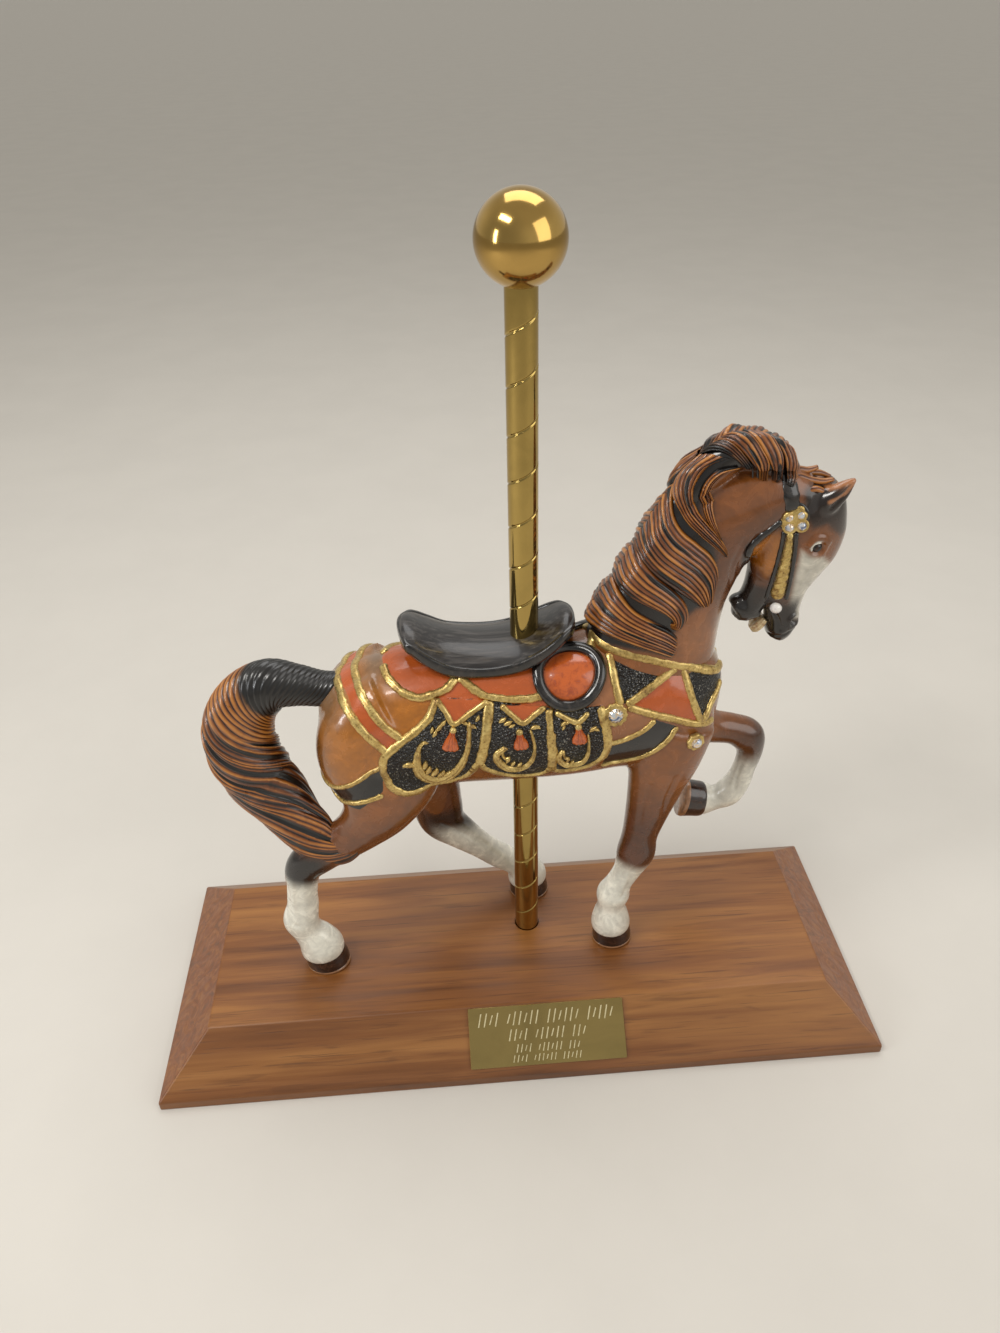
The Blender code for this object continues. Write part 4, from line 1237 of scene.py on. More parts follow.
@dataclass
class HorseHead:
    """Neck and head, with eye sockets, nostrils, mouth and ears carved in."""

    shape: HorseShape
    coat: Coat
    crest: Points = (
        (31, 0, 170, 4.5, 5), (37.5, 0, 181, 4.8, 5.5), (43, 0, 189.5, 5, 5.5), (47.5, 0, 197.5, 5.2, 5.5),
        (52.5, 0, 207, 5.4, 5.8), (58.5, 0, 217, 5.6, 6), (65, 0, 225, 5.6, 6), (72, 0, 229.4, 5.6, 5.8),
        (80, 0, 227.6, 5.4, 5.4), (86, 0, 223.4, 5, 5), (88.6, 0, 217.5, 4.4, 4.4))
    # Side-view outline of the neck under the mane, painted black as shade in the gaps between the locks.
    mane_shade_field: Points = (
        (24, 166), (36, 167), (52, 166), (53.5, 172), (57.5, 178), (62.5, 181.5), (64.5, 190), (66, 198),
        (63.5, 205), (60, 212), (60.5, 219), (63, 223), (70, 225.5), (80, 224), (88, 223), (92, 226),
        (84, 240), (62, 236), (40, 206))
    grain: float = 0.48
    soften: int = 6
    eye: tuple[float, float] = EYE
    nostril: tuple[float, float] = (96.2, 169.6)

    def relief(self, skin: Skin) -> Array:
        """How far each point moves out along its normal.

        Args:
            skin: The cast surface.

        Returns:
            One distance for each point, in millimetres.
        """
        p = skin.points
        side = p[:, [0, 2]]
        broad = np.abs(skin.normals[:, 1])
        face = (p[:, 0] > 74) & (p[:, 2] < 214)

        def bump(line: Points, width: float, high: float) -> Array:
            """A soft ridge or groove along a side-view line."""
            gap = line_distance(side, smooth_line(line, 24) if len(line) > 2 else line)
            return high * np.exp(-(gap / width) ** 2) * face

        out = np.zeros(len(p))
        x, z = self.eye
        gap = np.hypot(side[:, 0] - x, (side[:, 1] - z) * 1.15)
        out += face * broad * (-1.0 * np.exp(-(gap / 2.3) ** 2) + 0.55 * np.exp(-((gap - 3.1) / 0.7) ** 2))
        out += broad * bump(((94.6, 200.5), (96.4, 202.8), (99.2, 202.9), (101.6, 200.6)), 0.8, 0.7)
        out += broad * bump(((94.8, 197.6), (97.4, 195.4), (100.6, 196.2)), 0.7, 0.35)
        out += broad * bump(((96.4, 193.5), (95.2, 188.0), (94.8, 182.5)), 1.5, 0.55)
        out += broad * bump(((76.9, 199.0), (77.6, 193.5), (80.6, 188.6), (84.6, 186.4)), 0.9, 0.5)
        out += broad * bump(((78.8, 199.5), (79.6, 194.0), (82.6, 189.8)), 0.8, -0.45)
        nostril = np.hypot(side[:, 0] - self.nostril[0], (side[:, 1] - self.nostril[1]) * 0.8)
        out += face * broad * (-1.5 * np.exp(-(nostril / 1.0) ** 2)
                               + 0.8 * np.exp(-((nostril - 2.0) / 0.7) ** 2))
        out += bump(((88.0, 174.5), (90.6, 171.0), (92.0, 166.8)), 0.6, -0.5)
        out += bump(((89.4, 163.6), (93.0, 164.6), (97.0, 166.8)), 0.5, -0.35)
        out += broad * bump(((97.6, 166.2), (98.2, 168.4)), 0.9, 0.6)
        for line in (((75.4, 186), (74.2, 196), (78, 205)), ((72.6, 184), (71.4, 194), (74, 204))):
            gap = line_distance(side, smooth_line(line, 20))
            out -= broad * 0.25 * np.exp(-(gap / 0.9) ** 2)
        hollow = line_distance(side, ((100.4, 213.2), (103.0, 216.4), (105.2, 219.2)))
        out -= (p[:, 2] > 210) * (p[:, 0] > 97.5) * broad * 1.0 * np.exp(-(hollow / 1.2) ** 2)
        return out

    def build(self, finish: Material) -> tuple[Thing, Skin]:
        """Make the painted neck and head.

        Args:
            finish: The coat's material.

        Returns:
            The object and its skin.
        """
        skin = cast_in_one(self.shape.neck_and_head() + [tube(self.crest, 24)], self.grain, self.soften)
        colours = self.coat.head(skin)
        # Painted shade: the neck under the mane goes black, filling the hollows between the locks.
        under = field_depth(skin.points[:, [0, 2]], self.mane_shade_field)
        self.coat.lay(colours, self.coat.black, ease(-1.5, 1.5, under))
        moved = Skin(skin.points + skin.normals * self.relief(skin)[:, None], skin.faces, skin.normals)
        clay = Clay("horse_neck_and_head")
        none = np.full(len(moved.points), OUTSIDE)
        clay.solid(moved.points, moved.faces, orange=none, glitter=none, black=none)
        return clay.build(finish, colours), moved


@dataclass
class Lock:
    """One sheet of mane between two guides, combed into strands."""

    low: Points
    high: Points
    strands: int
    lift: float = 2.6
    dark: float = 0.0
    dark_end: float = 0.0


@dataclass
class Mane:
    """The mane's overlapping locks on both sides of the neck."""

    locks: Sequence[Lock] = (
        Lock(
            ((78, 0, 235), (80.5, -3, 234), (83.6, -6, 230), (84.8, -8.4, 225), (84.6, -9, 221)),
            ((87.6, 0, 230.6), (89.5, -4, 228.6), (90.0, -7, 225.4), (88.2, -8.5, 221.4),
             (87.0, -8.8, 219.5)), 4, 1.6, 0.30, 0.5),
        Lock(
            ((71.6, 0, 234.6), (73.9, -3, 233.7), (76.3, -5.5, 231.5), (79.1, -7.4, 227.9),
             (81.2, -8.4, 223.2)),
            ((79.5, 0, 234.6), (82.0, -3, 233.0), (84.4, -6, 229.6), (84.6, -8.2, 225.4),
             (83.0, -8.8, 222.0)), 4, 1.8, 0.10, 0.4),
        Lock(
            ((62.3, 0, 232.0), (66.8, -2, 232.6), (70.8, -4.5, 230.8), (73.7, -6.5, 228.0),
             (76.2, -8.0, 224.0)),
            ((72.5, 0, 235.2), (74.9, -3, 234.0), (77.3, -5.5, 231.7), (79.8, -7.4, 227.9),
             (79.6, -8.4, 223.4)), 5, 2.0, 0.0, 0.4),
        Lock(
            ((58.2, 0, 228.5), (61.4, -2, 229.9), (65.6, -4, 230.5), (69.3, -6, 228.6), (72.6, -7.6, 225.0)),
            ((63.8, 0, 232.6), (67.8, -2, 232.9), (71.6, -4.5, 230.6), (74.3, -6.5, 227.6),
             (75.2, -7.8, 224.0)), 5, 1.5, 0.55, 0.3),
        Lock(
            ((70.2, -6, 226.9), (64.2, -7, 226.6), (60.1, -8.5, 223.2), (59.0, -9, 218.1),
             (60.9, -10, 211.8), (64.2, -11, 207.1), (66.9, -11.5, 203.4)),
            ((71.0, -7, 225.4), (67.0, -8, 225.0), (63.6, -9, 222.0), (62.9, -9.5, 217.1),
             (63.9, -10, 211.7), (65.6, -11, 207.0), (67.2, -11.5, 203.4)), 4, 1.7, 0.05, 0.2),
        Lock(
            ((57.6, 0, 228.2), (54.4, 0, 222.8), (52.9, -2, 216.2), (54.2, -8, 211.4), (59.0, -11, 206.8),
             (64.3, -12.3, 202.4), (67.7, -12.5, 199.2), (69.4, -12.5, 196.6)),
            ((68.2, -4, 229.0), (60.4, -6, 226.9), (56.7, -8, 221.3), (58.1, -9.5, 215.3),
             (61.8, -11, 210.5), (65.2, -11.5, 206.6), (68.1, -12, 202.1), (69.5, -12.5, 197.6)),
            6, 2.6, 0.0, 0.15),
        Lock(
            ((43.0, 0, 198.0), (43.2, -6, 195.9), (46.9, -10, 192.2), (52.1, -12, 188.5),
             (57.5, -13, 184.7), (61.5, -13.2, 181.6), (64.0, -13, 179.6)),
            ((53.6, 0, 220.0), (52.0, -5, 213.0), (54.0, -9, 208.4), (59.0, -11.5, 204.4),
             (64.0, -12.5, 199.8), (67.0, -12.6, 193.6), (66.8, -12.6, 186.4), (64.4, -13, 180.4)),
            11, 2.7, 0.0, 0.15),
        Lock(
            ((36.0, 0, 186.8), (36.6, -6, 186.0), (40.4, -10.5, 184.0), (46.0, -13, 181.9),
             (50.2, -14, 180.0), (52.4, -14.5, 178.4), (52.6, -14.5, 176.9), (51.4, -14.5, 176.3)),
            ((43.8, 0, 200.4), (43.8, -6, 197.2), (46.9, -10, 193.0), (52.2, -12.5, 188.8),
             (56.6, -13.6, 184.0), (58.3, -14, 178.9), (56.0, -14.4, 174.5), (51.6, -14.5, 173.9)),
            7, 2.7, 0.0, 0.1),
        Lock(
            ((25.0, 0, 170.9), (30.6, -8, 170.4), (38.2, -12, 168.9), (46.7, -14.5, 166.3),
             (55.5, -15.5, 162.9)),
            ((36.2, 0, 187.4), (36.2, -7, 185.6), (40.2, -11, 181.2), (46.6, -13.5, 177.6),
             (52.0, -15, 174.6), (56.4, -15.5, 169.9)), 10, 2.7, 0.0, 0.2))
    rows: int = 84
    across: int = 12
    sink: float = 0.9
    ridge: float = 0.78

    def comb(self, clay: Clay, skin: Skin, lock: Lock, side: int, order: int) -> None:
        """Lay one lock on one side of the neck.

        Args:
            clay: The piece that it joins.
            skin: The neck's surface.
            lock: The lock.
            side: -1 near, 1 far.
            order: Its number, which sets its waves.
        """
        low = smooth_line(lock.low if side < 0 else flip(lock.low), self.rows)
        high = smooth_line(lock.high if side < 0 else flip(lock.high), self.rows)
        wide = lock.strands * self.across + 1
        share = np.linspace(0.0, 1.0, wide)
        t = np.linspace(0.0, 1.0, self.rows)
        spots = low[:, None] * (1 - share[None, :, None]) + high[:, None] * share[None, :, None]
        place, out = skin.nearest(spots.reshape(-1, 3))
        place, out = place.reshape(spots.shape), out.reshape(spots.shape)
        for _ in range(6):
            for axis in (0, 1):
                padded = np.concatenate([out.take([0], axis), out, out.take([-1], axis)], axis)
                out = (padded.take(range(0, out.shape[axis]), axis) + out * 2.0
                       + padded.take(range(2, out.shape[axis] + 2), axis))
                out = unit(out)
        wander = 0.10 * np.sin(7.0 * t + order)[:, None] * np.sin(math.pi * share)[None, :]
        strand = (share[None, :] + wander / max(lock.strands, 1)) * lock.strands
        ridge = np.abs(np.sin(math.pi * strand)) ** 0.62
        size = 0.78 + 0.22 * np.sin(2.4 * np.floor(strand) + 1.3 * order + 2.2 * t[:, None])
        dome = np.sin(math.pi * np.clip(share, 0.0, 1.0)) ** 0.55
        fade = ease(1.0, 0.90, t)
        low_start = 0.30 + 0.70 * ease(0.0, 0.22, t)[:, None]
        lift = (lock.lift * dome[None, :] * low_start + self.ridge * ridge * size) * fade[:, None]
        lift = lift - self.sink * (1 - dome[None, :] * fade[:, None]) ** 3
        rows = place + out * lift[..., None]
        # Painted shade: each lock darkens towards its edges, where it tucks under its neighbours.
        edge = ease(0.16, 0.0, share)[None, :] + 0.7 * ease(0.06, 0.0, 1 - share)[None, :]
        streak = (np.sin(1.1 * strand + order * 1.7 + 4.0 * t[:, None])
                  + 0.5 * np.sin(2.7 * strand - 6.0 * t[:, None]))
        dark = np.clip(lock.dark + lock.dark_end * ease(0.6, 1.0, t)[:, None] + 0.9 * edge
                       + 0.7 * ease(0.65, 1.25, streak), 0, 1)
        if side > 0:
            rows, ridge, dark = rows[:, ::-1], ridge[:, ::-1], dark[:, ::-1]
        clay.grid(rows, wrap=False, ridge=ridge * size, dark=dark)

    def build(self, skin: Skin, finish: Material) -> list[Thing]:
        """Make the mane, one piece for each side.

        Args:
            skin: The neck's surface.
            finish: The hair's material.

        Returns:
            The two objects.
        """
        made = []
        for side, name in ((-1, "mane_near_side"), (1, "mane_far_side")):
            clay = Clay(name)
            for order, lock in enumerate(self.locks):
                self.comb(clay, skin, lock, side, order)
            made.append(clay.build(finish))
        return made


@dataclass
class Forelock:
    """Wavy strands combed forward between the ears."""

    strands: Sequence[Points] = (
        ((86, -3.0, 221.0, 1.3), (90, -3.6, 221.6, 1.4), (94, -3.4, 220.2, 1.3), (98, -3.4, 219.4, 1.2),
         (101.6, -3.2, 219.8, 0.7)),
        ((86, -1.2, 222.6, 1.3), (90, -1.4, 223.0, 1.4), (93.6, -1.2, 222.4, 1.3), (96.8, -1.0, 223.2, 0.8)),
        ((86, 0.8, 222.8, 1.3), (90, 0.6, 222.6, 1.4), (94.5, 1.0, 220.8, 1.3), (98.6, 1.2, 220.2, 1.2),
         (102.2, 1.4, 218.8, 0.7)),
        ((86, 2.8, 221.4, 1.3), (90.4, 3.0, 221.2, 1.4), (95, 3.2, 219.0, 1.3), (99.4, 3.0, 217.4, 0.8)),
        ((92, -5.4, 217.4, 1.2), (95.6, -5.6, 218.0, 1.3), (99.0, -5.4, 216.4, 1.2),
         (101.5, -5.0, 216.2, 0.6)))

    def build(self, finish: Material) -> Thing:
        """Make the forelock.

        Args:
            finish: The hair's material.

        Returns:
            The forelock.
        """
        clay = Clay("forelock")
        for rows in self.strands:
            rings = tube([(x, y, z, r, r * 0.8) for x, y, z, r in rows], 16, 7)
            turn = lap(16)
            ridge = np.tile(0.35 + 0.6 * np.abs(np.cos(2.0 * turn)), (len(rings), 1))
            clay.grid(rings, ridge=ridge, dark=0.12)
        return clay.build(finish)


@dataclass
class Tail:
    """The tail, wound in twisted strands."""

    rows: Points = (
        (-55, 0, 149, 6.0, 6.2), (-64, 0, 149.8, 5.9, 6.3), (-73, 0, 152, 6.6, 7.6),
        (-81.5, 0, 152.6, 8, 9.4), (-89.6, 0, 147, 8.6, 10.8), (-94.4, -0.5, 138, 9, 12),
        (-95, -1, 127, 9, 12.8), (-91.5, -2, 115.5, 9, 13), (-84.8, -4.4, 104.5, 8.4, 11.6),
        (-79, -8, 97, 7.4, 10), (-73, -12, 91, 6.4, 9.2), (-67.5, -15.2, 88.4, 4.6, 7.6),
        (-62, -17.2, 88, 2.8, 5.2), (-57.5, -17.8, 88.8, 1.0, 2.2))
    winding: Sequence[tuple[float, float]] = ((0.0, 0.0), (0.16, 5.0), (0.36, 10.5), (0.5, 13.0), (1.0, 16.0))
    falling: Sequence[tuple[float, float]] = ((0.0, 0.0), (0.25, 0.5), (0.45, 3.6), (0.6, 5.4), (1.0, 8.0))
    strands_above: int = 14
    strands: int = 26
    bands: int = 7
    rings: int = 408
    sides: int = 208
    guides: int = 96
    strand_depth: float = 0.06
    bundle_depth: float = 0.11

    def build(self, finish: Material) -> Thing:
        """Make the tail: strands nearly across it above, and falling along it below.

        Args:
            finish: The hair's material.

        Returns:
            The tail.
        """
        steps = self.rings // (len(self.rows) - 1)
        smooth = tube(self.rows, self.guides, steps)
        centre = smooth.mean(1, keepdims=True)
        share = np.linspace(0.0, 1.0, len(smooth))[:, None]
        wind = np.interp(share, *np.array(self.winding).T)
        fall = np.interp(share, *np.array(self.falling).T)
        own = lap(self.sides)[None, :]
        angle = own - fall
        place = np.mod(angle / (2.0 * math.pi), 1.0) * self.guides
        first = np.floor(place).astype(int) % self.guides
        rest = (place - np.floor(place))[..., None]
        line = np.arange(len(smooth))[:, None]
        rings = smooth[line, first] * (1 - rest) + smooth[line, (first + 1) % self.guides] * rest
        above = np.abs(np.cos(0.5 * self.strands_above * (angle + wind)
                              + 0.5 * np.sin(2.0 * angle + 5.0 * share))) ** 0.7
        wave = 0.10 * np.sin(3.0 * own + 7.0 * share)
        below = np.abs(np.cos(0.5 * self.strands * (own + wave))) ** 0.7
        size = 0.72 + 0.28 * np.sin(2.1 * np.floor(0.5 * self.strands * (own + wave) / math.pi) + 3.0 * share)
        low = ease(0.36, 0.44, share + 0.03 * np.sin(own))
        fine = above * (1 - low) + below * size * low
        bundle = np.abs(np.cos(0.5 * self.bands * own + 0.5 * np.sin(5.0 * share)
                               + 0.25 * np.sin(3.0 * own))) ** 0.8
        swell = 1.0 + self.bundle_depth * (bundle - 0.62) * low + self.strand_depth * (fine - 0.5)
        points = centre + (rings - centre) * swell[..., None]
        band = ease(0.62, 0.30, bundle) * low
        root = ease(0.29, 0.22, share + 0.03 * np.cos(angle))
        dark = np.clip(0.92 * root + 0.95 * band, 0, 1)
        clay = Clay("tail")
        clay.grid(points, ridge=fine, dark=dark)
        return clay.build(finish)


@dataclass
class Saddle:
    """The black seat with its rolled rim: x, half width, height at the edge and on the middle line."""

    rows: Points = (
        (-35.6, 3.0, 173.6, 174.6), (-34.6, 7.5, 173.4, 175.8), (-31.5, 10.6, 172.0, 175.2),
        (-27, 12.4, 169.0, 172.6), (-20, 13.4, 165.2, 169.6), (-10, 13.8, 163.6, 167.8),
        (0, 13.8, 164.4, 167.8), (8, 13.2, 167.2, 169.8), (14, 11.8, 170.6, 173.2), (18, 9.8, 173.2, 175.8),
        (20.6, 6.6, 174.2, 176.4), (22.2, 2.6, 173.6, 174.6))
    rim: float = 1.5
    tuck: float = 0.9

    def build(self, seat: Material, edge: Material) -> list[Thing]:
        """Make the seat and its rim.

        Args:
            seat: The leather.
            edge: Finish of the rim.

        Returns:
            The two objects.
        """
        rows = smooth_line([(x, 0, e, h, m) for x, h, e, m in self.rows], 90)
        span = np.linspace(-1.0, 1.0, 25)
        top = []
        for x, _, low, half, middle in rows:
            z = middle - (middle - low) * np.abs(span) ** 2.2
            y = half * span
            ring = np.stack([np.full(25, x), y, z], 1)
            under = np.array([(x, half * 0.92, low - 5.0), (x, 0.0, low - 9.0), (x, -half * 0.92, low - 5.0)])
            top.append(np.concatenate([ring, under]))
        clay = Clay("saddle_seat")
        clay.grid(np.array(top))
        loop = [(x, h, e - self.tuck) for x, _, e, h, _ in rows]
        loop += [(x, -h, e - self.tuck) for x, _, e, h, _ in rows[::-1]]
        line = smooth_line(loop[::4], 220, closed=True)
        along = unit(np.roll(line, -1, 0) - np.roll(line, 1, 0))
        out = unit(np.cross(along, (0, 0, 1.0)))
        up = np.cross(out, along)
        turn = lap(14)
        size = self.rim * (1.0 + 0.06 * np.sin(np.linspace(0, 40, len(line))))[:, None, None]
        flat = np.sign(np.cos(turn)) * np.abs(np.cos(turn)) ** 0.6
        tall = np.sign(np.sin(turn)) * np.abs(np.sin(turn)) ** 0.6
        ring = (line[:, None] + out[:, None] * (flat[None, :, None] * size * 0.75)
                + up[:, None] * (tall[None, :, None] * size * 1.25 - 0.5))
        rim = Clay("saddle_rim")
        rim.grid(np.concatenate([ring, ring[:1]]), caps=False)
        return [clay.build(seat), rim.build(edge)]


@dataclass
class Trim:
    """Lays raised bands of paint and moulding on a skin."""

    skin: Skin
    wobble: float = 0.05

    def lay(self, clay: Clay, line: Array, half: float, height: float, closed: bool = False,
            flutes: int = 0, rope: float = 0.0, widths: Optional[Sequence[float]] = None,
            ends: float = 0.35, step: float = 0.55, sink: float = 0.6) -> None:
        """Lay one band.

        Args:
            clay: The piece that the band joins.
            line: Points near the skin, along the band's middle.
            half: Half the band's width, in millimetres.
            height: How far its middle stands off the skin.
            closed: Whether the band closes on itself.
            flutes: Grooves along the band.
            rope: Length of one turn of a rope pattern, or 0 for none.
            widths: Shares of the half width along the band.
            ends: Share of the half width over which open ends round off.
            step: Distance between two cross-sections.
            sink: How far the edges go into the skin.
        """
        line = np.asarray(line, float)
        length = np.linalg.norm(np.diff(line, axis=0), axis=1).sum()
        count = max(int(length / step), 8)
        path = smooth_line(line, count, closed)
        place, out = self.skin.nearest(path, 4)
        along = unit(np.gradient(place, axis=0))
        if closed:
            along = unit(np.roll(place, -1, 0) - np.roll(place, 1, 0))
        across = unit(np.cross(out, along))
        t = np.linspace(0.0, 1.0, count)
        wave = 1.0 + self.wobble * (np.sin(41.0 * t * length / 50 + half) + np.sin(97.0 * t * length / 50))
        size = half * wave
        if widths is not None:
            size = size * np.interp(t, np.linspace(0, 1, len(widths)), widths)
        tall = height * np.ones(count)
        if not closed and ends > 0:
            reach = np.minimum(t, 1 - t) * length
            size = size * np.sqrt(np.clip(reach / (ends * half * 2) + 0.08, 0, 1))
            tall = tall * np.sqrt(np.clip(reach / (ends * half * 2) + 0.05, 0, 1))
        u = np.array([-1.0, -0.93, -0.78, -0.5, 0.0, 0.5, 0.78, 0.93, 1.0])
        if flutes:
            u = np.linspace(-1, 1, flutes * 4 + 1)
        rows = []
        for k in u:
            base, normal = self.skin.nearest(place + across * (size * k)[:, None])
            blend = unit(normal * 0.5 + out)
            rise = tall * (1 - abs(k) ** 3.4) ** 0.7
            if flutes:
                rise = rise * (0.72 + 0.28 * abs(math.cos(math.pi * flutes * (k + 1) / 2)))
            if rope:
                rise = rise * (0.80 + 0.20 * np.cos(2 * math.pi * (t * length / rope + 0.5 * k)))
            rows.append(base + blend * (rise - 0.05)[:, None])
        rows.append(rows[-1] - out * sink)
        rows.append(rows[0] - out * sink)
        ring = np.stack(rows, 1)
        if closed:
            ring = np.concatenate([ring, ring[:1]])
        clay.grid(ring[:, ::-1], caps=not closed)

    def boss(self, clay: Clay, spot: Array, radius: float, height: float, petals: int = 0) -> None:
        """Lay a round domed boss, with scalloped edges when asked.

        Args:
            clay: The piece that it joins.
            spot: A point near the skin.
            radius: Its radius.
            height: Height of its middle.
            petals: Scallops round it, or 0.
        """
        place, out = self.skin.nearest(np.array([spot, spot]))
        turn = facing(out[0])
        angle = lap(48)
        edge = 1.0 + (0.06 * np.cos(petals * angle) if petals else 0.0)
        rows = []
        for share, rise in ((1.0, -0.8), (1.0, 0.35 * height), (0.97, 0.6 * height), (0.88, 0.8 * height),
                            (0.78, 0.75 * height), (0.55, 0.92 * height), (0.25, height), (0.04, height)):
            flat = np.stack([np.cos(angle) * radius * share * edge, np.sin(angle) * radius * share * edge,
                             np.full(48, rise)], 1)
            rows.append(place[0] + flat @ turn.T)
        clay.grid(np.array(rows))


@dataclass
class Hooves:
    """Four horn hooves with a thin pale sole, flared to the ground."""

    standing: Sequence[Points] = (
        ((39.4, -10.7, 31.0, 5.8, 6.4), (39.5, -10.7, 29.0, 6.5, 7.2), (39.6, -10.7, 27.0, 6.8, 7.6),
         (39.9, -10.7, 24.8, 7.0, 7.9), (40.0, -10.7, 23.2, 7.1, 8.0)),
        ((-77.6, -12.7, 31.0, 6.2, 7.0), (-77.2, -12.7, 29.0, 7.0, 8.0), (-77.0, -12.7, 27.0, 7.3, 8.3),
         (-76.6, -12.7, 24.8, 7.5, 8.6), (-76.4, -12.7, 23.2, 7.5, 8.7)),
        ((7.7, 17.8, 31.0, 5.8, 6.8), (7.9, 17.8, 29.0, 6.5, 7.7), (8.1, 17.8, 27.0, 6.7, 7.9),
         (8.3, 17.8, 24.8, 6.9, 8.1), (8.4, 17.8, 23.2, 7.0, 8.2)))
    lifted: Points = (
        (79.4, 13.8, 72.6, 5.8, 6.8), (78.2, 13.8, 72.8, 6.5, 7.6), (75.0, 13.9, 73.4, 6.7, 7.9),
        (71.6, 14.0, 74.0, 6.9, 8.3))
    sole: float = 22.2

    def build(self, horn: Material, pale: Material) -> list[Thing]:
        """Make the hooves and their soles.

        Args:
            horn: Finish of the hooves.
            pale: Finish of the soles.

        Returns:
            The two objects.
        """
        dark, light = Clay("hooves"), Clay("hoof_soles")
        for rows in self.standing:
            dark.grid(tube(rows, 48, 5))
            x, y, _, wide, deep = rows[-1]
            light.grid(tube([(x, y, 23.35, wide + 0.05, deep + 0.05), (x, y, 22.7, wide + 0.12, deep + 0.12),
                             (x, y, self.sole, wide - 0.1, deep - 0.1)], 48, 3))
        dark.grid(tube(self.lifted, 48, 5))
        x, y, z, wide, deep = self.lifted[-1]
        light.grid(tube([(x + 0.2, y, z - 0.05, wide, deep), (x - 0.5, y, z + 0.1, wide + 0.1, deep + 0.1),
                         (x - 1.4, y, z + 0.3, wide - 0.2, deep - 0.2)], 48, 3))
        return [dark.build(horn), light.build(pale)]


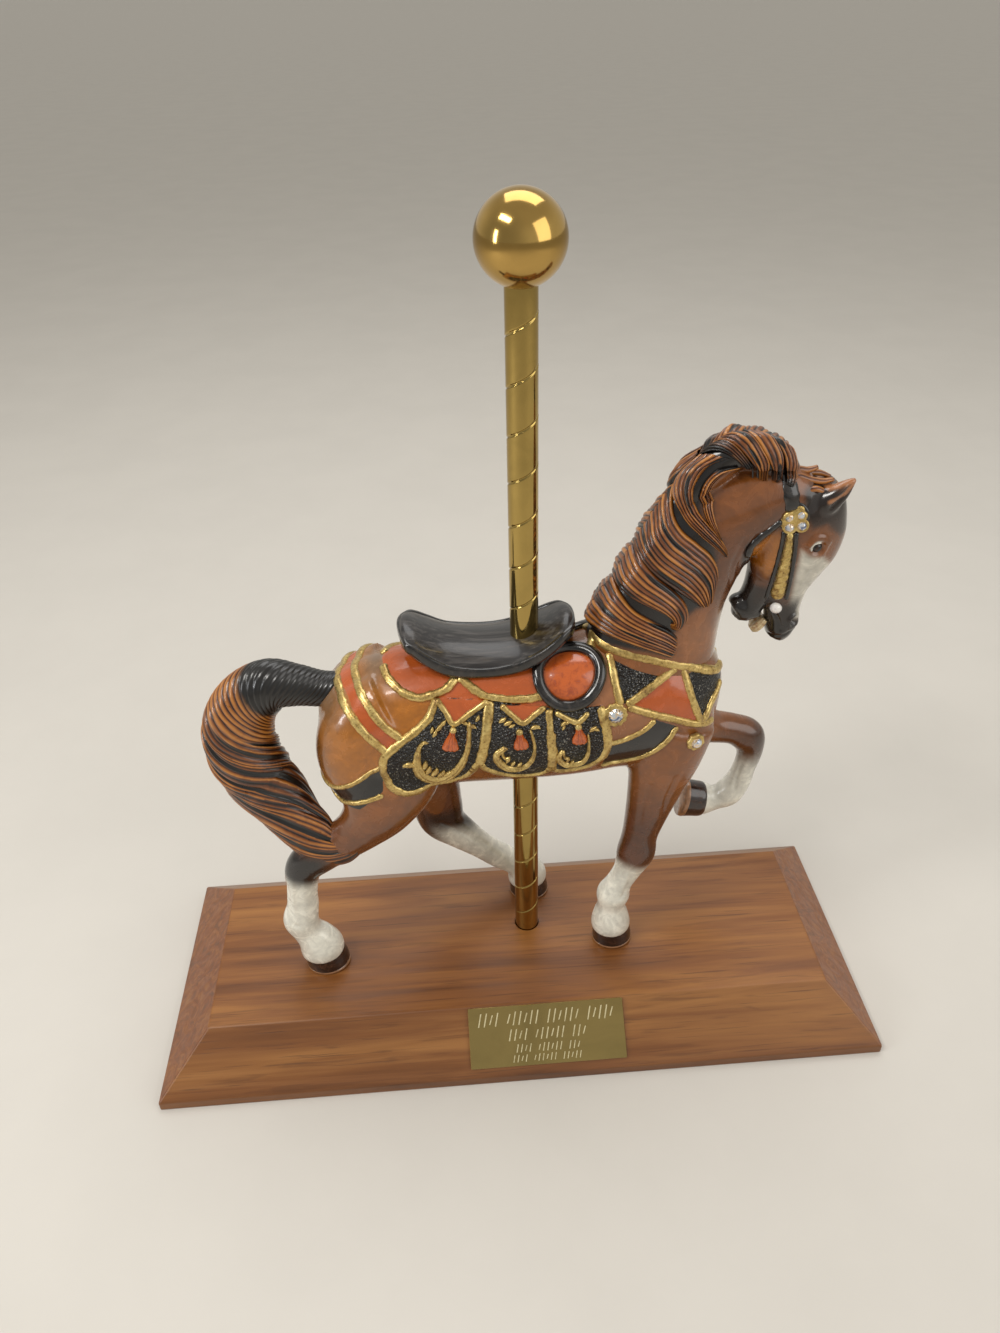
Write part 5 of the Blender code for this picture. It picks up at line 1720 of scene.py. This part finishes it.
@dataclass
class Trappings:
    """Raised gold lines, scrolls, tassels and the medallion on the body."""

    tassels: Sequence[Points] = (
        ((-20.0, 70), (-20.8, 77), (-21.4, 86)), ((1.8, 75), (2.1, 81), (2.4, 89)),
        ((21.4, 75), (21.8, 81), (22.0, 89)))
    scrolls: Sequence[Points] = (
        ((-28.4, 78), (-30.0, 77), (-31.6, 81), (-32.5, 88), (-32.8, 97), (-31.8, 107), (-29.2, 115),
         (-25.8, 118), (-22.2, 113), (-18.9, 104), (-16.6, 93), (-15.3, 83), (-14.8, 72), (-14.5, 65)),
        ((-1.4, 95), (-3.3, 96), (-4.1, 90), (-2.8, 87), (-5.4, 91), (-6.1, 95), (-4.7, 102), (-2.1, 108),
         (1.4, 109), (4.5, 105), (6.4, 97), (6.8, 88), (6.2, 80), (5.4, 74)),
        ((18.7, 101), (17.0, 100), (16.3, 94), (15.2, 98), (15.3, 103), (17.6, 109), (20.7, 110),
         (23.7, 107), (25.0, 99), (25.1, 90), (24.6, 82)))
    leaves: Sequence[tuple[float, float, float, float]] = (
        (-33.4, 96, 190, 4.4), (-30.8, 100, 285, 3.4), (-30.0, 106, 290, 3.8), (-28.2, 109, 300, 4.0),
        (-26.2, 112, 305, 4.0), (-24.2, 111, 320, 3.2), (-14.5, 68, 20, 2.4), (-14.9, 67, 200, 2.2),
        (-26.8, 73, 300, 2.6), (-25.4, 69, 310, 2.8), (-24.2, 66, 320, 2.6), (-27.4, 70, 290, 2.0),
        (-12.4, 65, 300, 2.2), (-4.8, 67, 330, 2.8), (-3.2, 69, 340, 3.0), (-1.6, 71, 340, 2.2),
        (5.6, 73, 350, 3.0), (6.8, 72, 20, 2.2), (-2.8, 100, 290, 2.6), (-1.2, 104, 300, 2.4),
        (0.8, 105, 320, 2.2), (15.6, 73, 320, 2.2), (17.0, 72, 330, 2.0), (16.0, 76, 300, 1.8),
        (25.2, 80, 330, 2.6), (26.6, 79, 20, 2.0), (17.6, 105, 300, 2.0), (19.0, 107, 310, 1.8))
    ring_radius: float = 10.4
    ring_half: float = 2.0
    dome_radius: float = 8.8

    def panel(self, side: int, trim: Trim, gold: Clay) -> None:
        """Lay the lines of one side.

        Args:
            side: -1 near, 1 far.
            trim: What lays them.
            gold: The piece that they join.
        """
        bands = [(SCALLOP_REAR[1:], 1.65, 1.2), (SCALLOP_FRONT, 1.65, 1.2), (PANEL_REAR, 1.75, 0.9),
                 (PANEL_MIDDLE, 1.75, 0.9), (PANEL_FRONT, 2.0, 0.9)] + [(drop, 1.05, 1.0) for drop in DROPS]
        for line, half, height in bands:
            trim.lay(gold, BARREL.spot(line, side), half, height)
        for line in (CRUPPER_TOP, CRUPPER_LOW):
            trim.lay(gold, BARREL.spot(line, side), 1.0, 0.8)
        for line, half, height in [(COLLAR, 1.75, 1.2)] + [(line, 1.45, 1.0) for line in STRIPS] + [
                (GIRTH_TOP, 1.05, 0.8), (GIRTH_LOW, 1.05, 0.8)]:
            path = smooth_line(line, 24)
            trim.lay(gold, trim.skin.drop(path, side), half, height)

    def leaf(self, trim: Trim, gold: Clay, side: int, where: tuple[float, float, float, float]) -> None:
        """Lay one pointed leaf: x, degrees down, the way it points and its length.

        Args:
            trim: What lays it.
            gold: The piece that it joins.
            side: -1 near, 1 far.
            where: Those four numbers.
        """
        x, down, way, long = where
        turn = math.radians(way)
        run = np.array([math.cos(turn), math.sin(turn) / BARREL.radius * 180 / math.pi])
        line = [np.array([x, down]) + run * long * t + (0.12 * long * math.sin(math.pi * t), 0)
                for t in (0, 0.35, 0.7, 1)]
        trim.lay(gold, BARREL.spot(line, side), long * 0.30, 0.9, widths=(0.35, 0.8, 1.0, 0.7, 0.15),
                 ends=0.0)

    def build(self, skin: Skin, gold_paint: Material, enamel: Material,
              black: Material) -> list[Thing]:
        """Make the trappings.

        Args:
            skin: The body's surface.
            gold_paint: Finish of the lines and scrolls.
            enamel: Finish of the tassels and the medallion's dome.
            black: Finish of the medallion's ring.

        Returns:
            The gold lines, the tassels with the domes, and the rings.
        """
        trim = Trim(skin)
        gold, orange, ring = Clay("gold_trims"), Clay("tassels_and_domes"), Clay("medallion_rings")
        for line in (CROUP_REAR, CROUP_FRONT):
            over = np.concatenate([BARREL.spot(line[::-1], 1), BARREL.spot(line[1:], -1)])
            trim.lay(gold, over, 1.5, 0.9)
        for side in (-1, 1):
            self.panel(side, trim, gold)
            for line, half in zip(self.scrolls, (1.9, 1.25, 1.1)):
                trim.lay(gold, BARREL.spot(line, side), half, 1.1, flutes=3, step=0.35,
                         widths=(0.25, 0.5, 0.9, 1.15, 1.2, 1.0, 0.75, 0.55, 0.45, 0.4))
            for where in self.leaves:
                self.leaf(trim, gold, side, where)
            for line in self.tassels:
                trim.lay(orange, BARREL.spot(line, side), 1.9, 1.7, flutes=4,
                         widths=(0.35, 0.6, 1.05, 1.4, 1.35), ends=0.1)
                trim.boss(gold, BARREL.spot(line[:1], side)[0], 1.15, 1.7)
            self.medallion(trim, orange, ring, side)
        return [gold.build(gold_paint), orange.build(enamel), ring.build(black)]

    def medallion(self, trim: Trim, orange: Clay, ring: Clay, side: int) -> None:
        """Lay the ring and the domed disc behind the collar.

        Args:
            trim: What lays them.
            orange: The piece of the disc.
            ring: The piece of the ring.
            side: -1 near, 1 far.
        """
        turn = lap(120)
        spread = 180 / math.pi / BARREL.radius
        round_line = [(MEDALLION[0] + self.ring_radius * math.cos(a),
                       MEDALLION[1] + self.ring_radius * spread * math.sin(a)) for a in turn]
        even = []
        for values in trim.skin.nearest(BARREL.spot(round_line, side)):
            wave = np.fft.rfft(values, axis=0)
            wave[4:] = 0
            even.append(np.fft.irfft(wave, len(turn), axis=0))
        place, out = even[0], unit(even[1])
        across = unit(np.cross(out, np.roll(place, -1, 0) - np.roll(place, 1, 0)))
        round_hoop = lap(24)
        hoop = (place[:, None] + across[:, None] * (np.cos(round_hoop) * self.ring_half)[None, :, None]
                + out[:, None] * (0.3 + 1.7 * np.sin(round_hoop))[None, :, None])
        ring.grid(np.concatenate([hoop, hoop[:1]]), caps=False)
        rows = []
        for share in np.linspace(1.0, 0.02, 14):
            reach = self.dome_radius * share
            edge = BARREL.spot([(MEDALLION[0] + reach * math.cos(a),
                                 MEDALLION[1] + reach * spread * math.sin(a)) for a in turn], side)
            place, out = trim.skin.nearest(edge)
            rows.append(place + out * (1.5 * (1 - share ** 2) - 0.1))
        rows = np.array(rows)
        orange.grid(rows if side < 0 else rows[:, ::-1])


@dataclass
class Bridle:
    """Straps, rosette and cheek cord of the bridle, laid on the head."""

    crown_top: Points = ((83.6, 223.6), (84.4, 219.3), (85.4, 213.0))
    crown_low: Points = ((88.6, 223.4), (89.4, 219.0), (90.8, 213.0))
    cheek: Points = ((88.5, 205.4), (88.7, 199.4), (88.8, 192.5), (88.8, 185.5), (88.6, 179.0))
    throat: Points = (
        (85.7, 209.0), (82.8, 206.7), (79.5, 204.3), (77.2, 201.7), (76.3, 199.3), (76.4, 196.4))
    rosette: tuple[float, float] = (88.7, 210.2)
    rosette_radius: float = 4.4

    def build(self, skin: Skin, gold_paint: Material, black: Material
              ) -> list[Thing]:
        """Make the bridle.

        Args:
            skin: The head's surface.
            gold_paint: Finish of the cords and bosses.
            black: Finish of the straps.

        Returns:
            The two objects.
        """
        trim = Trim(skin)
        gold, dark = Clay("bridle_gold"), Clay("bridle_black")
        for side in (-1, 1):
            for offset in (-1, 1):
                edge = [(x + offset * (1.0 + 0.26 * (205.4 - z) / 5 + 0.75), z) for x, z in self.cheek]
                trim.lay(dark, skin.drop(smooth_line(edge, 20), side), 0.75, 0.7)
            trim.lay(gold, skin.drop(smooth_line(self.cheek, 20), side), 2.0, 1.3, rope=2.6,
                     widths=(0.5, 0.75, 1.0, 1.15), step=0.3)
            trim.lay(dark, skin.drop(smooth_line(self.throat, 20), side), 1.3, 1.0)
            middle = [((a[0] + b[0]) / 2, (a[1] + b[1]) / 2) for a, b in zip(self.crown_top, self.crown_low)]
            trim.lay(dark, skin.drop(smooth_line(middle, 12), side), 2.5, 0.8, ends=0.0)
            spot = skin.drop([self.rosette], side)[0]
            trim.boss(dark, spot, self.rosette_radius + 0.7, 0.8)
            trim.boss(gold, spot, self.rosette_radius, 1.6, petals=10)
        return [gold.build(gold_paint), dark.build(black)]


@dataclass
class Stones:
    """Cut stones in gold collets, in the places of the frame's stones."""

    bezel: float = 1.55
    sides: int = 12
    flatness: float = 0.8

    def cut(self, clay: Clay, place: Array, out: Array, radius: float) -> None:
        """Add one faceted stone.

        Args:
            clay: The piece that it joins.
            place: Its middle.
            out: The way it faces.
            radius: Its radius.
        """
        turn = facing(out)
        half = math.pi / self.sides
        rings = []
        for share, rise, shift in ((0.0, 0.60, 0.0), (0.52, 0.60, 0.0), (0.80, 0.38, half), (1.0, 0.10, 0.0),
                                   (0.9, -0.35, 0.0)):
            a = lap(self.sides) + shift
            rings.append(np.stack([np.cos(a) * share * radius, np.sin(a) * share * radius,
                                   np.full(self.sides, rise * radius)], 1))
        points = place + np.concatenate(rings) @ turn.T
        n = self.sides
        j = np.arange(n)
        k = (j + 1) % n
        back = (j - 1) % n
        corners = ((j, j + n, k + n), (j + n, j + 2 * n, k + n), (j + n, back + 2 * n, j + 2 * n),
                   (j + 2 * n, k + 3 * n, k + n), (j + 2 * n, j + 3 * n, k + 3 * n),
                   (j + 3 * n, j + 4 * n, k + 4 * n), (j + 3 * n, k + 4 * n, k + 3 * n))
        clay.solid(points, np.concatenate([np.stack(c, 1) for c in corners]))

    def dome(self, clay: Clay, place: Array, out: Array, radius: float) -> None:
        """Add one smooth pearl, a little flattened.

        Args:
            clay: The piece that it joins.
            place: Its middle.
            out: The way it faces.
            radius: Its radius.
        """
        turn = facing(out)
        lat = np.linspace(0.05, math.pi - 0.05, 16)[:, None]
        a = lap(28)
        ball = np.stack([np.sin(lat) * np.cos(a), np.sin(lat) * np.sin(a),
                         np.cos(lat) * np.full(28, self.flatness)], -1)
        clay.grid(place + (ball * radius) @ turn.T)

    def set_in(self, node: str, skin: Skin, glass: Material, collets: Clay,
               petals: int = 0) -> Thing:
        """Make the stone that stands for a node, and its collet.

        Args:
            node: The frame's node.
            skin: The surface that it is set on.
            glass: The stone's material.
            collets: The piece that its collet joins.
            petals: Scallops round the collet, or 0 for a plain one.

        Returns:
            The stone.
        """
        low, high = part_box(node)
        middle = node_middle(low, high)
        place, out = skin.nearest(np.array([middle, middle]))
        radius = max((high - low)[0], (high - low)[2]) / MM / 2
        clay = Clay(node + "_cut")
        if node == "bit_pearl":
            self.dome(clay, place[0] + out[0] * 0.6, out[0], radius)
        else:
            self.cut(clay, place[0] + out[0] * 1.0, out[0], radius * 0.96)
            Trim(skin).boss(collets, place[0], radius * self.bezel, 1.1, petals=petals)
        obj = clay.build(glass, smooth=node == "bit_pearl")
        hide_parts(node)
        return obj


@dataclass
class Mouth:
    """The bared teeth and the tongue between muzzle and chin."""

    rows: Points = (
        (87.4, 0, 168.8, 3.2, 1.6), (86.0, 0, 166.9, 3.6, 2.0), (84.6, 0, 165.2, 3.3, 1.9),
        (83.6, 0, 164.2, 2.0, 1.0))

    def build(self, finish: Material) -> Thing:
        """Make the teeth, grooved between one tooth and the next.

        Args:
            finish: Their material.

        Returns:
            The teeth.
        """
        rings = tube(self.rows, 60, 8)
        centre = rings.mean(1, keepdims=True)
        turn = lap(60)
        clay = Clay("teeth")
        clay.grid(centre + (rings - centre) * (1.0 - 0.12 * np.abs(np.cos(5.0 * turn)) ** 6)[None, :, None])
        return clay.build(finish)


@dataclass
class Eyes:
    """Glass eyes under carved lids."""

    spot: tuple[float, float] = EYE
    radius: float = 1.9

    def build(self, skin: Skin, glass: Material) -> Thing:
        """Make the eyes.

        Args:
            skin: The head's surface.
            glass: The eyes' material.

        Returns:
            Both eyes in one object.
        """
        clay = Clay("eyes")
        for side in (-1, 1):
            place, out = skin.nearest(np.repeat(skin.drop([self.spot], side), 2, 0))
            middle = place[0] - out[0] * self.radius * 0.25
            lat = np.linspace(0.04, math.pi - 0.04, 20)
            turn = lap(32)
            ball = np.stack([np.sin(lat)[:, None] * np.cos(turn), np.sin(lat)[:, None] * np.sin(turn),
                             np.repeat(np.cos(lat)[:, None], 32, 1)], -1)
            clay.grid(middle + ball * self.radius)
        return clay.build(glass)

    def whites(self, skin: Skin, finish: Material) -> Thing:
        """Make the rim of white at the upper back of each eye.

        Args:
            skin: The head's surface.
            finish: The white.

        Returns:
            Both rims in one object.
        """
        trim, clay = Trim(skin), Clay("eye_whites")
        turn = np.radians(np.linspace(215.0, 55.0, 18))
        rim = np.array(self.spot) + 2.0 * np.stack([np.cos(turn), np.sin(turn)], 1)
        for side in (-1, 1):
            trim.lay(clay, skin.drop(rim, side), 0.45, 0.45)
        return clay.build(finish)


@dataclass
class Pole:
    """The brass pole with its spiral groove."""

    x: float = 5.8
    radius: float = 4.7625
    pitch: float = 14.8
    crossing: float = 267.0
    left_edge: float = 3.068
    groove: float = 0.28
    around: int = 96

    def build(self, finish: Material) -> Thing:
        """Make the pole between the heights of the frame's own.

        Args:
            finish: The brass.

        Returns:
            The pole.
        """
        low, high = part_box("pole")
        bottom, top = low.z / MM - RISE, high.z / MM - RISE
        steps = np.array([-0.75, -0.5, -0.35, -0.2, 0.0, 0.2, 0.35, 0.5, 0.75, 3.4, 7.0, 10.6])
        depth = self.groove * np.clip(1.0 - (np.abs(steps) / 0.4) ** 2, 0.0, 1.0) ** 0.8
        start = self.crossing - RISE - self.pitch * self.left_edge / (2 * math.pi)
        first = math.floor((bottom - start) / self.pitch) - 1
        turns = math.ceil((top - start) / self.pitch) + 1 - first
        rows = np.concatenate([start + (first + k) * self.pitch + steps for k in range(turns)])
        sink = np.tile(depth, turns)
        angle = lap(self.around)
        height = np.clip(rows[:, None] + self.pitch * angle[None, :] / (2 * math.pi), bottom, top)
        size = self.radius - sink[:, None]
        points = np.stack([self.x + size * np.cos(angle), size * np.sin(angle), height], -1).reshape(-1, 3)
        index = np.arange(len(rows) * self.around).reshape(len(rows), self.around)
        beside = np.concatenate([index[:-len(steps), 1:], index[len(steps):, :1]], 1)
        here = index[:-len(steps)]
        faces = np.stack([here[:-1], beside[:-1], beside[1:], here[1:]], -1).reshape(-1, 4)
        clay = Clay("pole_with_spiral_groove")
        clay.solid(points, faces)
        obj = clay.build(finish)
        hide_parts("pole")
        return obj


@dataclass
class Ball:
    """The polished ball on top of the pole: the radii of its turned seat, outer and inner."""

    seat: tuple[float, float] = (4.95, 4.80)

    def build(self, finish: Material) -> Thing:
        """Make the ball, with a turned seat where the pole enters it.

        Args:
            finish: The brass.

        Returns:
            The ball.
        """
        low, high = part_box("ball")
        radius = (high.x - low.x) / MM / 2
        middle = node_middle(low, high)
        middle[2] = high.z / MM - RISE - radius
        turn = lap(128)
        lat = np.linspace(0.02, math.pi - 0.40, 90)
        profile = [(radius * math.sin(a), radius * math.cos(a)) for a in lat]
        foot = profile[-1][1]
        profile += [(self.seat[0], foot - 0.05), (self.seat[1], foot + 0.6)]
        rings = [np.stack([middle[0] + r * np.cos(turn), middle[1] + r * np.sin(turn),
                           np.full(len(turn), middle[2] + h)], 1) for r, h in profile]
        clay = Clay("polished_ball")
        clay.grid(np.array(rings)[::-1])
        obj = clay.build(finish)
        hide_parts("ball")
        return obj


@dataclass
class Nameplate:
    """The engraved plate on the front bevel, its lettering left as plain strokes."""

    bevel_rise: float = 18.025
    bevel_run: float = 19.05
    half_long: float = 30.15
    half_tall: float = 11.1
    half_thick: float = 0.4
    rounding: float = 0.5
    rows_of_strokes: Sequence[tuple[float, float, float, float]] = (
        (6.4, 5.0, 1.25, 52.0), (0.3, 4.2, 1.15, 29.0), (-4.7, 3.0, 0.95, 24.0), (-8.4, 2.6, 0.90, 27.0))

    def build(self, finish: Material, ink: Material) -> list[Thing]:
        """Make the plate and its rows of strokes.

        Args:
            finish: The plate's brass.
            ink: Finish of the strokes.

        Returns:
            The two objects.
        """
        low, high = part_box("nameplate")
        middle = node_middle(low, high)
        along = np.array([1.0, 0.0, 0.0])
        slope = math.atan2(self.bevel_rise, self.bevel_run)
        up = np.array([0.0, math.cos(slope), math.sin(slope)])
        out = np.cross(along, up)
        thick = self.half_thick

        def place(u: Array, v: Array, w: float) -> Array:
            """Points of the plate from its own axes."""
            return middle + np.outer(u, along) + np.outer(v, up) + w * out

        turn = lap(80)
        corner_u = np.sign(np.cos(turn)) * (self.half_long - self.rounding)
        corner_v = np.sign(np.sin(turn)) * (self.half_tall - self.rounding)
        rows = []
        for inset, height in ((0.0, -thick), (0.0, thick - 0.12), (0.12, thick), (0.35, thick)):
            round_off = self.rounding - inset
            rows.append(place(corner_u + round_off * np.cos(turn),
                              corner_v + round_off * np.sin(turn), height))
        plate = Clay("engraved_plate")
        plate.grid(np.array(rows))
        strokes = Clay("plate_strokes")
        for level, tall, width, span in self.rows_of_strokes:
            u = -span / 2
            k = 0
            while u < span / 2:
                k += 1
                if k % 7 == 5:
                    u += width * 2.0
                    continue
                tip = tall * (0.5 if k % 3 else 0.34)
                lean = 0.12 * tall
                corners = np.array([(u - lean, level - tip), (u + width * 0.36 - lean, level - tip),
                                    (u + width * 0.36 + lean, level + tip), (u + lean, level + tip)])
                top = place(corners[:, 0], corners[:, 1], thick + 0.03)
                base = place(corners[:, 0], corners[:, 1], thick - 0.08)
                strokes.grid(np.stack([base, top]))
                u += width * 1.75
        obj = plate.build(finish, smooth=False)
        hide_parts("nameplate")
        return [obj, strokes.build(ink, smooth=False)]


@dataclass
class Studio:
    """Camera, floor and soft light."""

    spot: tuple[float, float, float] = (-0.018673, -0.268943, 0.349479)
    right: tuple[float, float, float] = (0.99704544, -0.0736833, -0.02170638)
    up: tuple[float, float, float] = (0.06028847, 0.575541, 0.81554758)
    ahead: tuple[float, float, float] = (0.04759932, 0.81444664, -0.57828278)
    lens: float = 26.41
    dark_side: tuple[float, float, float] = (-0.80, -0.58, 0.10)
    walls: Colour = (0.66, 0.65, 0.61)
    ceiling: Colour = (0.50, 0.48, 0.44)
    dark: Colour = (0.36, 0.355, 0.34)

    def camera(self) -> None:
        """Set up the camera at the picture's viewing angle."""
        data = bpy.data.cameras.new("camera")
        data.sensor_fit = "VERTICAL"
        data.sensor_height = 36.0
        data.lens = self.lens
        data.clip_start = 0.01
        data.clip_end = 300.0
        camera = bpy.data.objects.new("camera", data)
        turn = Matrix((self.right, self.up, [-k for k in self.ahead])).transposed()
        camera.matrix_world = Matrix.Translation(self.spot) @ turn.to_4x4()
        put(camera)
        bpy.context.scene.camera = camera

    def light(self, name: str, spot: Sequence[float], power: float, size: tuple[float, float],
              colour: Colour = (1.0, 1.0, 1.0)) -> None:
        """Add a soft box that faces the horse.

        Args:
            name: Its name.
            spot: Where it hangs, in metres.
            power: Its power.
            size: Its two sides.
            colour: Its colour.
        """
        data = bpy.data.lights.new(name, "AREA")
        data.shape = "RECTANGLE"
        data.size, data.size_y = size
        data.energy = power
        data.color = colour
        box = bpy.data.objects.new(name, data)
        box.location = spot
        box.rotation_euler = (Vector((0.0, 0.0, 0.12)) - Vector(spot)).to_track_quat("-Z", "Y").to_euler()
        put(box)

    def room(self) -> None:
        """Make the room: pale walls, a grey ceiling and a greyer side at the left front."""
        world = bpy.data.worlds.new("studio")
        bpy.context.scene.world = world
        world.use_nodes = True
        nodes, links = world.node_tree.nodes, world.node_tree.links
        way = nodes.new("ShaderNodeTexCoord").outputs["Generated"]
        aim = nodes.new("ShaderNodeVectorMath")
        aim.operation = "DOT_PRODUCT"
        links.new(way, aim.inputs[0])
        aim.inputs[1].default_value = self.dark_side
        split = nodes.new("ShaderNodeSeparateXYZ")
        links.new(way, split.inputs[0])
        colour = None
        for value, low, high, shade in ((split.outputs["Z"], 0.30, 0.75, self.ceiling),
                                        (aim.outputs["Value"], 0.25, 0.95, self.dark)):
            share = nodes.new("ShaderNodeMapRange")
            share.interpolation_type = "SMOOTHSTEP"
            links.new(value, share.inputs["Value"])
            share.inputs["From Min"].default_value = low
            share.inputs["From Max"].default_value = high
            mixer = nodes.new("ShaderNodeMix")
            mixer.data_type = "RGBA"
            links.new(share.outputs["Result"], mixer.inputs[0])
            mixer.inputs[6].default_value = (*self.walls, 1.0)
            if colour is not None:
                links.new(colour, mixer.inputs[6])
            mixer.inputs[7].default_value = (*shade, 1.0)
            colour = mixer.outputs[2]
        links.new(colour, nodes["Background"].inputs["Color"])
        nodes["Background"].inputs["Strength"].default_value = 1.0

    def build(self, paper: Material) -> None:
        """Set up the floor, the lights and the camera.

        Args:
            paper: Finish of the floor.
        """
        mesh = bpy.data.meshes.new("floor")
        mesh.from_pydata([(-90, -90, 0), (90, -90, 0), (90, 90, 0), (-90, 90, 0)], [], [(0, 1, 2, 3)])
        mesh.materials.append(paper)
        floor = bpy.data.objects.new("floor", mesh)
        put(floor)
        self.room()
        self.light("key", (-0.50, -0.30, 0.95), 3.8, (0.45, 0.16), (1.0, 0.97, 0.92))
        self.light("window", (-0.75, -0.30, 0.42), 1.6, (0.10, 0.34), (0.96, 0.98, 1.0))
        self.light("fill", (0.70, -0.50, 0.60), 2.4, (0.6, 0.7), (1.0, 0.98, 0.95))
        self.light("top", (0.10, 0.35, 1.0), 3.4, (0.8, 0.5))
        self.camera()


def show(pieces: Sequence[Thing], slot: str, node: str = "") -> None:
    """Let pieces ride with the part, stand for a node, and report them.

    Args:
        pieces: The pieces.
        slot: The finish slot. Not used.
        node: The node that they stand for, or nothing.
    """
    for piece in pieces:
        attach(piece, "root")
        if node:
            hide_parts(node)
        LOG.info("%s: %d faces", piece.name, len(piece.data.polygons))


def main() -> None:
    """Build every piece in order."""
    logging.basicConfig(level=logging.INFO, format="%(message)s")
    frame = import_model()
    gold = GoldPaint().make()
    black = Lacquer("black_lacquer", paint(18, 16, 16), paint(52, 46, 42)).make()
    enamel = Lacquer("orange_enamel", paint(190, 92, 40), paint(152, 66, 28)).make()
    horn = Lacquer("hoof_horn", paint(40, 28, 24), paint(74, 50, 38)).make()
    sole = Lacquer("sole_edge", paint(150, 108, 76), paint(112, 78, 54)).make()
    seat = Lacquer("saddle_leather", paint(32, 29, 29), paint(74, 70, 68), Grain.ALONG_X, 700.0,
                   (0.28, 0.42), 0.3, 0.15).make()
    hair = Hair().make()
    coat_paint = CoatPaint().make()
    brass = Brass("polished_brass").make()
    # Painted reflection: the ball's brass is a warmer copy of the pole's, tinted for the warm horse and board
    # it reflects.
    warm_ball_brass = Brass("polished_ball", paint(186, 152, 88), 0.10).make()
    plate_brass = Brass("engraved_brass", paint(172, 150, 96), 0.12, 0.15).make()
    scratch = Lacquer("engraving", paint(204, 192, 152), paint(170, 156, 116)).make()
    crystal = Glass("clear_stone", paint(214, 220, 226), paint(232, 196, 150), paint(110, 120, 150)).make()
    pearl = Lacquer("pearl", paint(236, 232, 226), paint(212, 202, 204), coat=1.0).make()
    ivory = Lacquer("teeth_paint", paint(206, 182, 140), paint(150, 100, 60)).make()
    eye = Lacquer("glass_eye", paint(16, 12, 10), paint(60, 34, 16), coat=0.25, rough=(0.05, 0.10)).make()
    white = Lacquer("eye_white", paint(226, 222, 212), paint(196, 188, 176), coat=0.3).make()

    frame["nodes"]["board"].data.materials.clear()
    frame["nodes"]["board"].data.materials.append(Walnut().make())

    shape, coat = HorseShape(), Coat()
    body, trunk = HorseBody(shape, coat).build(coat_paint)
    show([body], *CASTING)
    head, skull = HorseHead(shape, coat).build(coat_paint)
    show([head], *CASTING)
    show(Mane().build(skull, hair) + [Forelock().build(hair), Tail().build(hair)], *CASTING)
    show(Saddle().build(seat, black), *CASTING)
    show(Hooves().build(horn, sole), *CASTING)
    show(Trappings().build(trunk, gold, enamel, black), *CASTING)
    show(Bridle().build(skull, gold, black), *CASTING)
    eyes = Eyes()
    face = [eyes.build(skull, eye), eyes.whites(skull, white), Mouth().build(ivory)]
    show(face, *CASTING)

    stones, collets = Stones(), Clay("stone_collets")
    set_stones = [stones.set_in("large_stone", trunk, crystal, collets, 12),
                  stones.set_in("chest_stone", trunk, crystal, collets, 8)]
    set_stones += [stones.set_in("rosette_stone_%d" % k, skull, crystal, collets) for k in (1, 2, 3, 4)]
    show(set_stones, "rhinestone")
    show([stones.set_in("bit_pearl", skull, pearl, collets)], "pearl")
    show([collets.build(gold)], *CASTING)

    show([Pole().build(brass), Ball().build(warm_ball_brass)], "polished_brass")
    show(Nameplate().build(plate_brass, scratch), "engraved_brass", "nameplate")
    Studio().build(Floor().make())
    bpy.context.scene.view_settings.view_transform = "Standard"


if __name__ == "__main__":
    main()
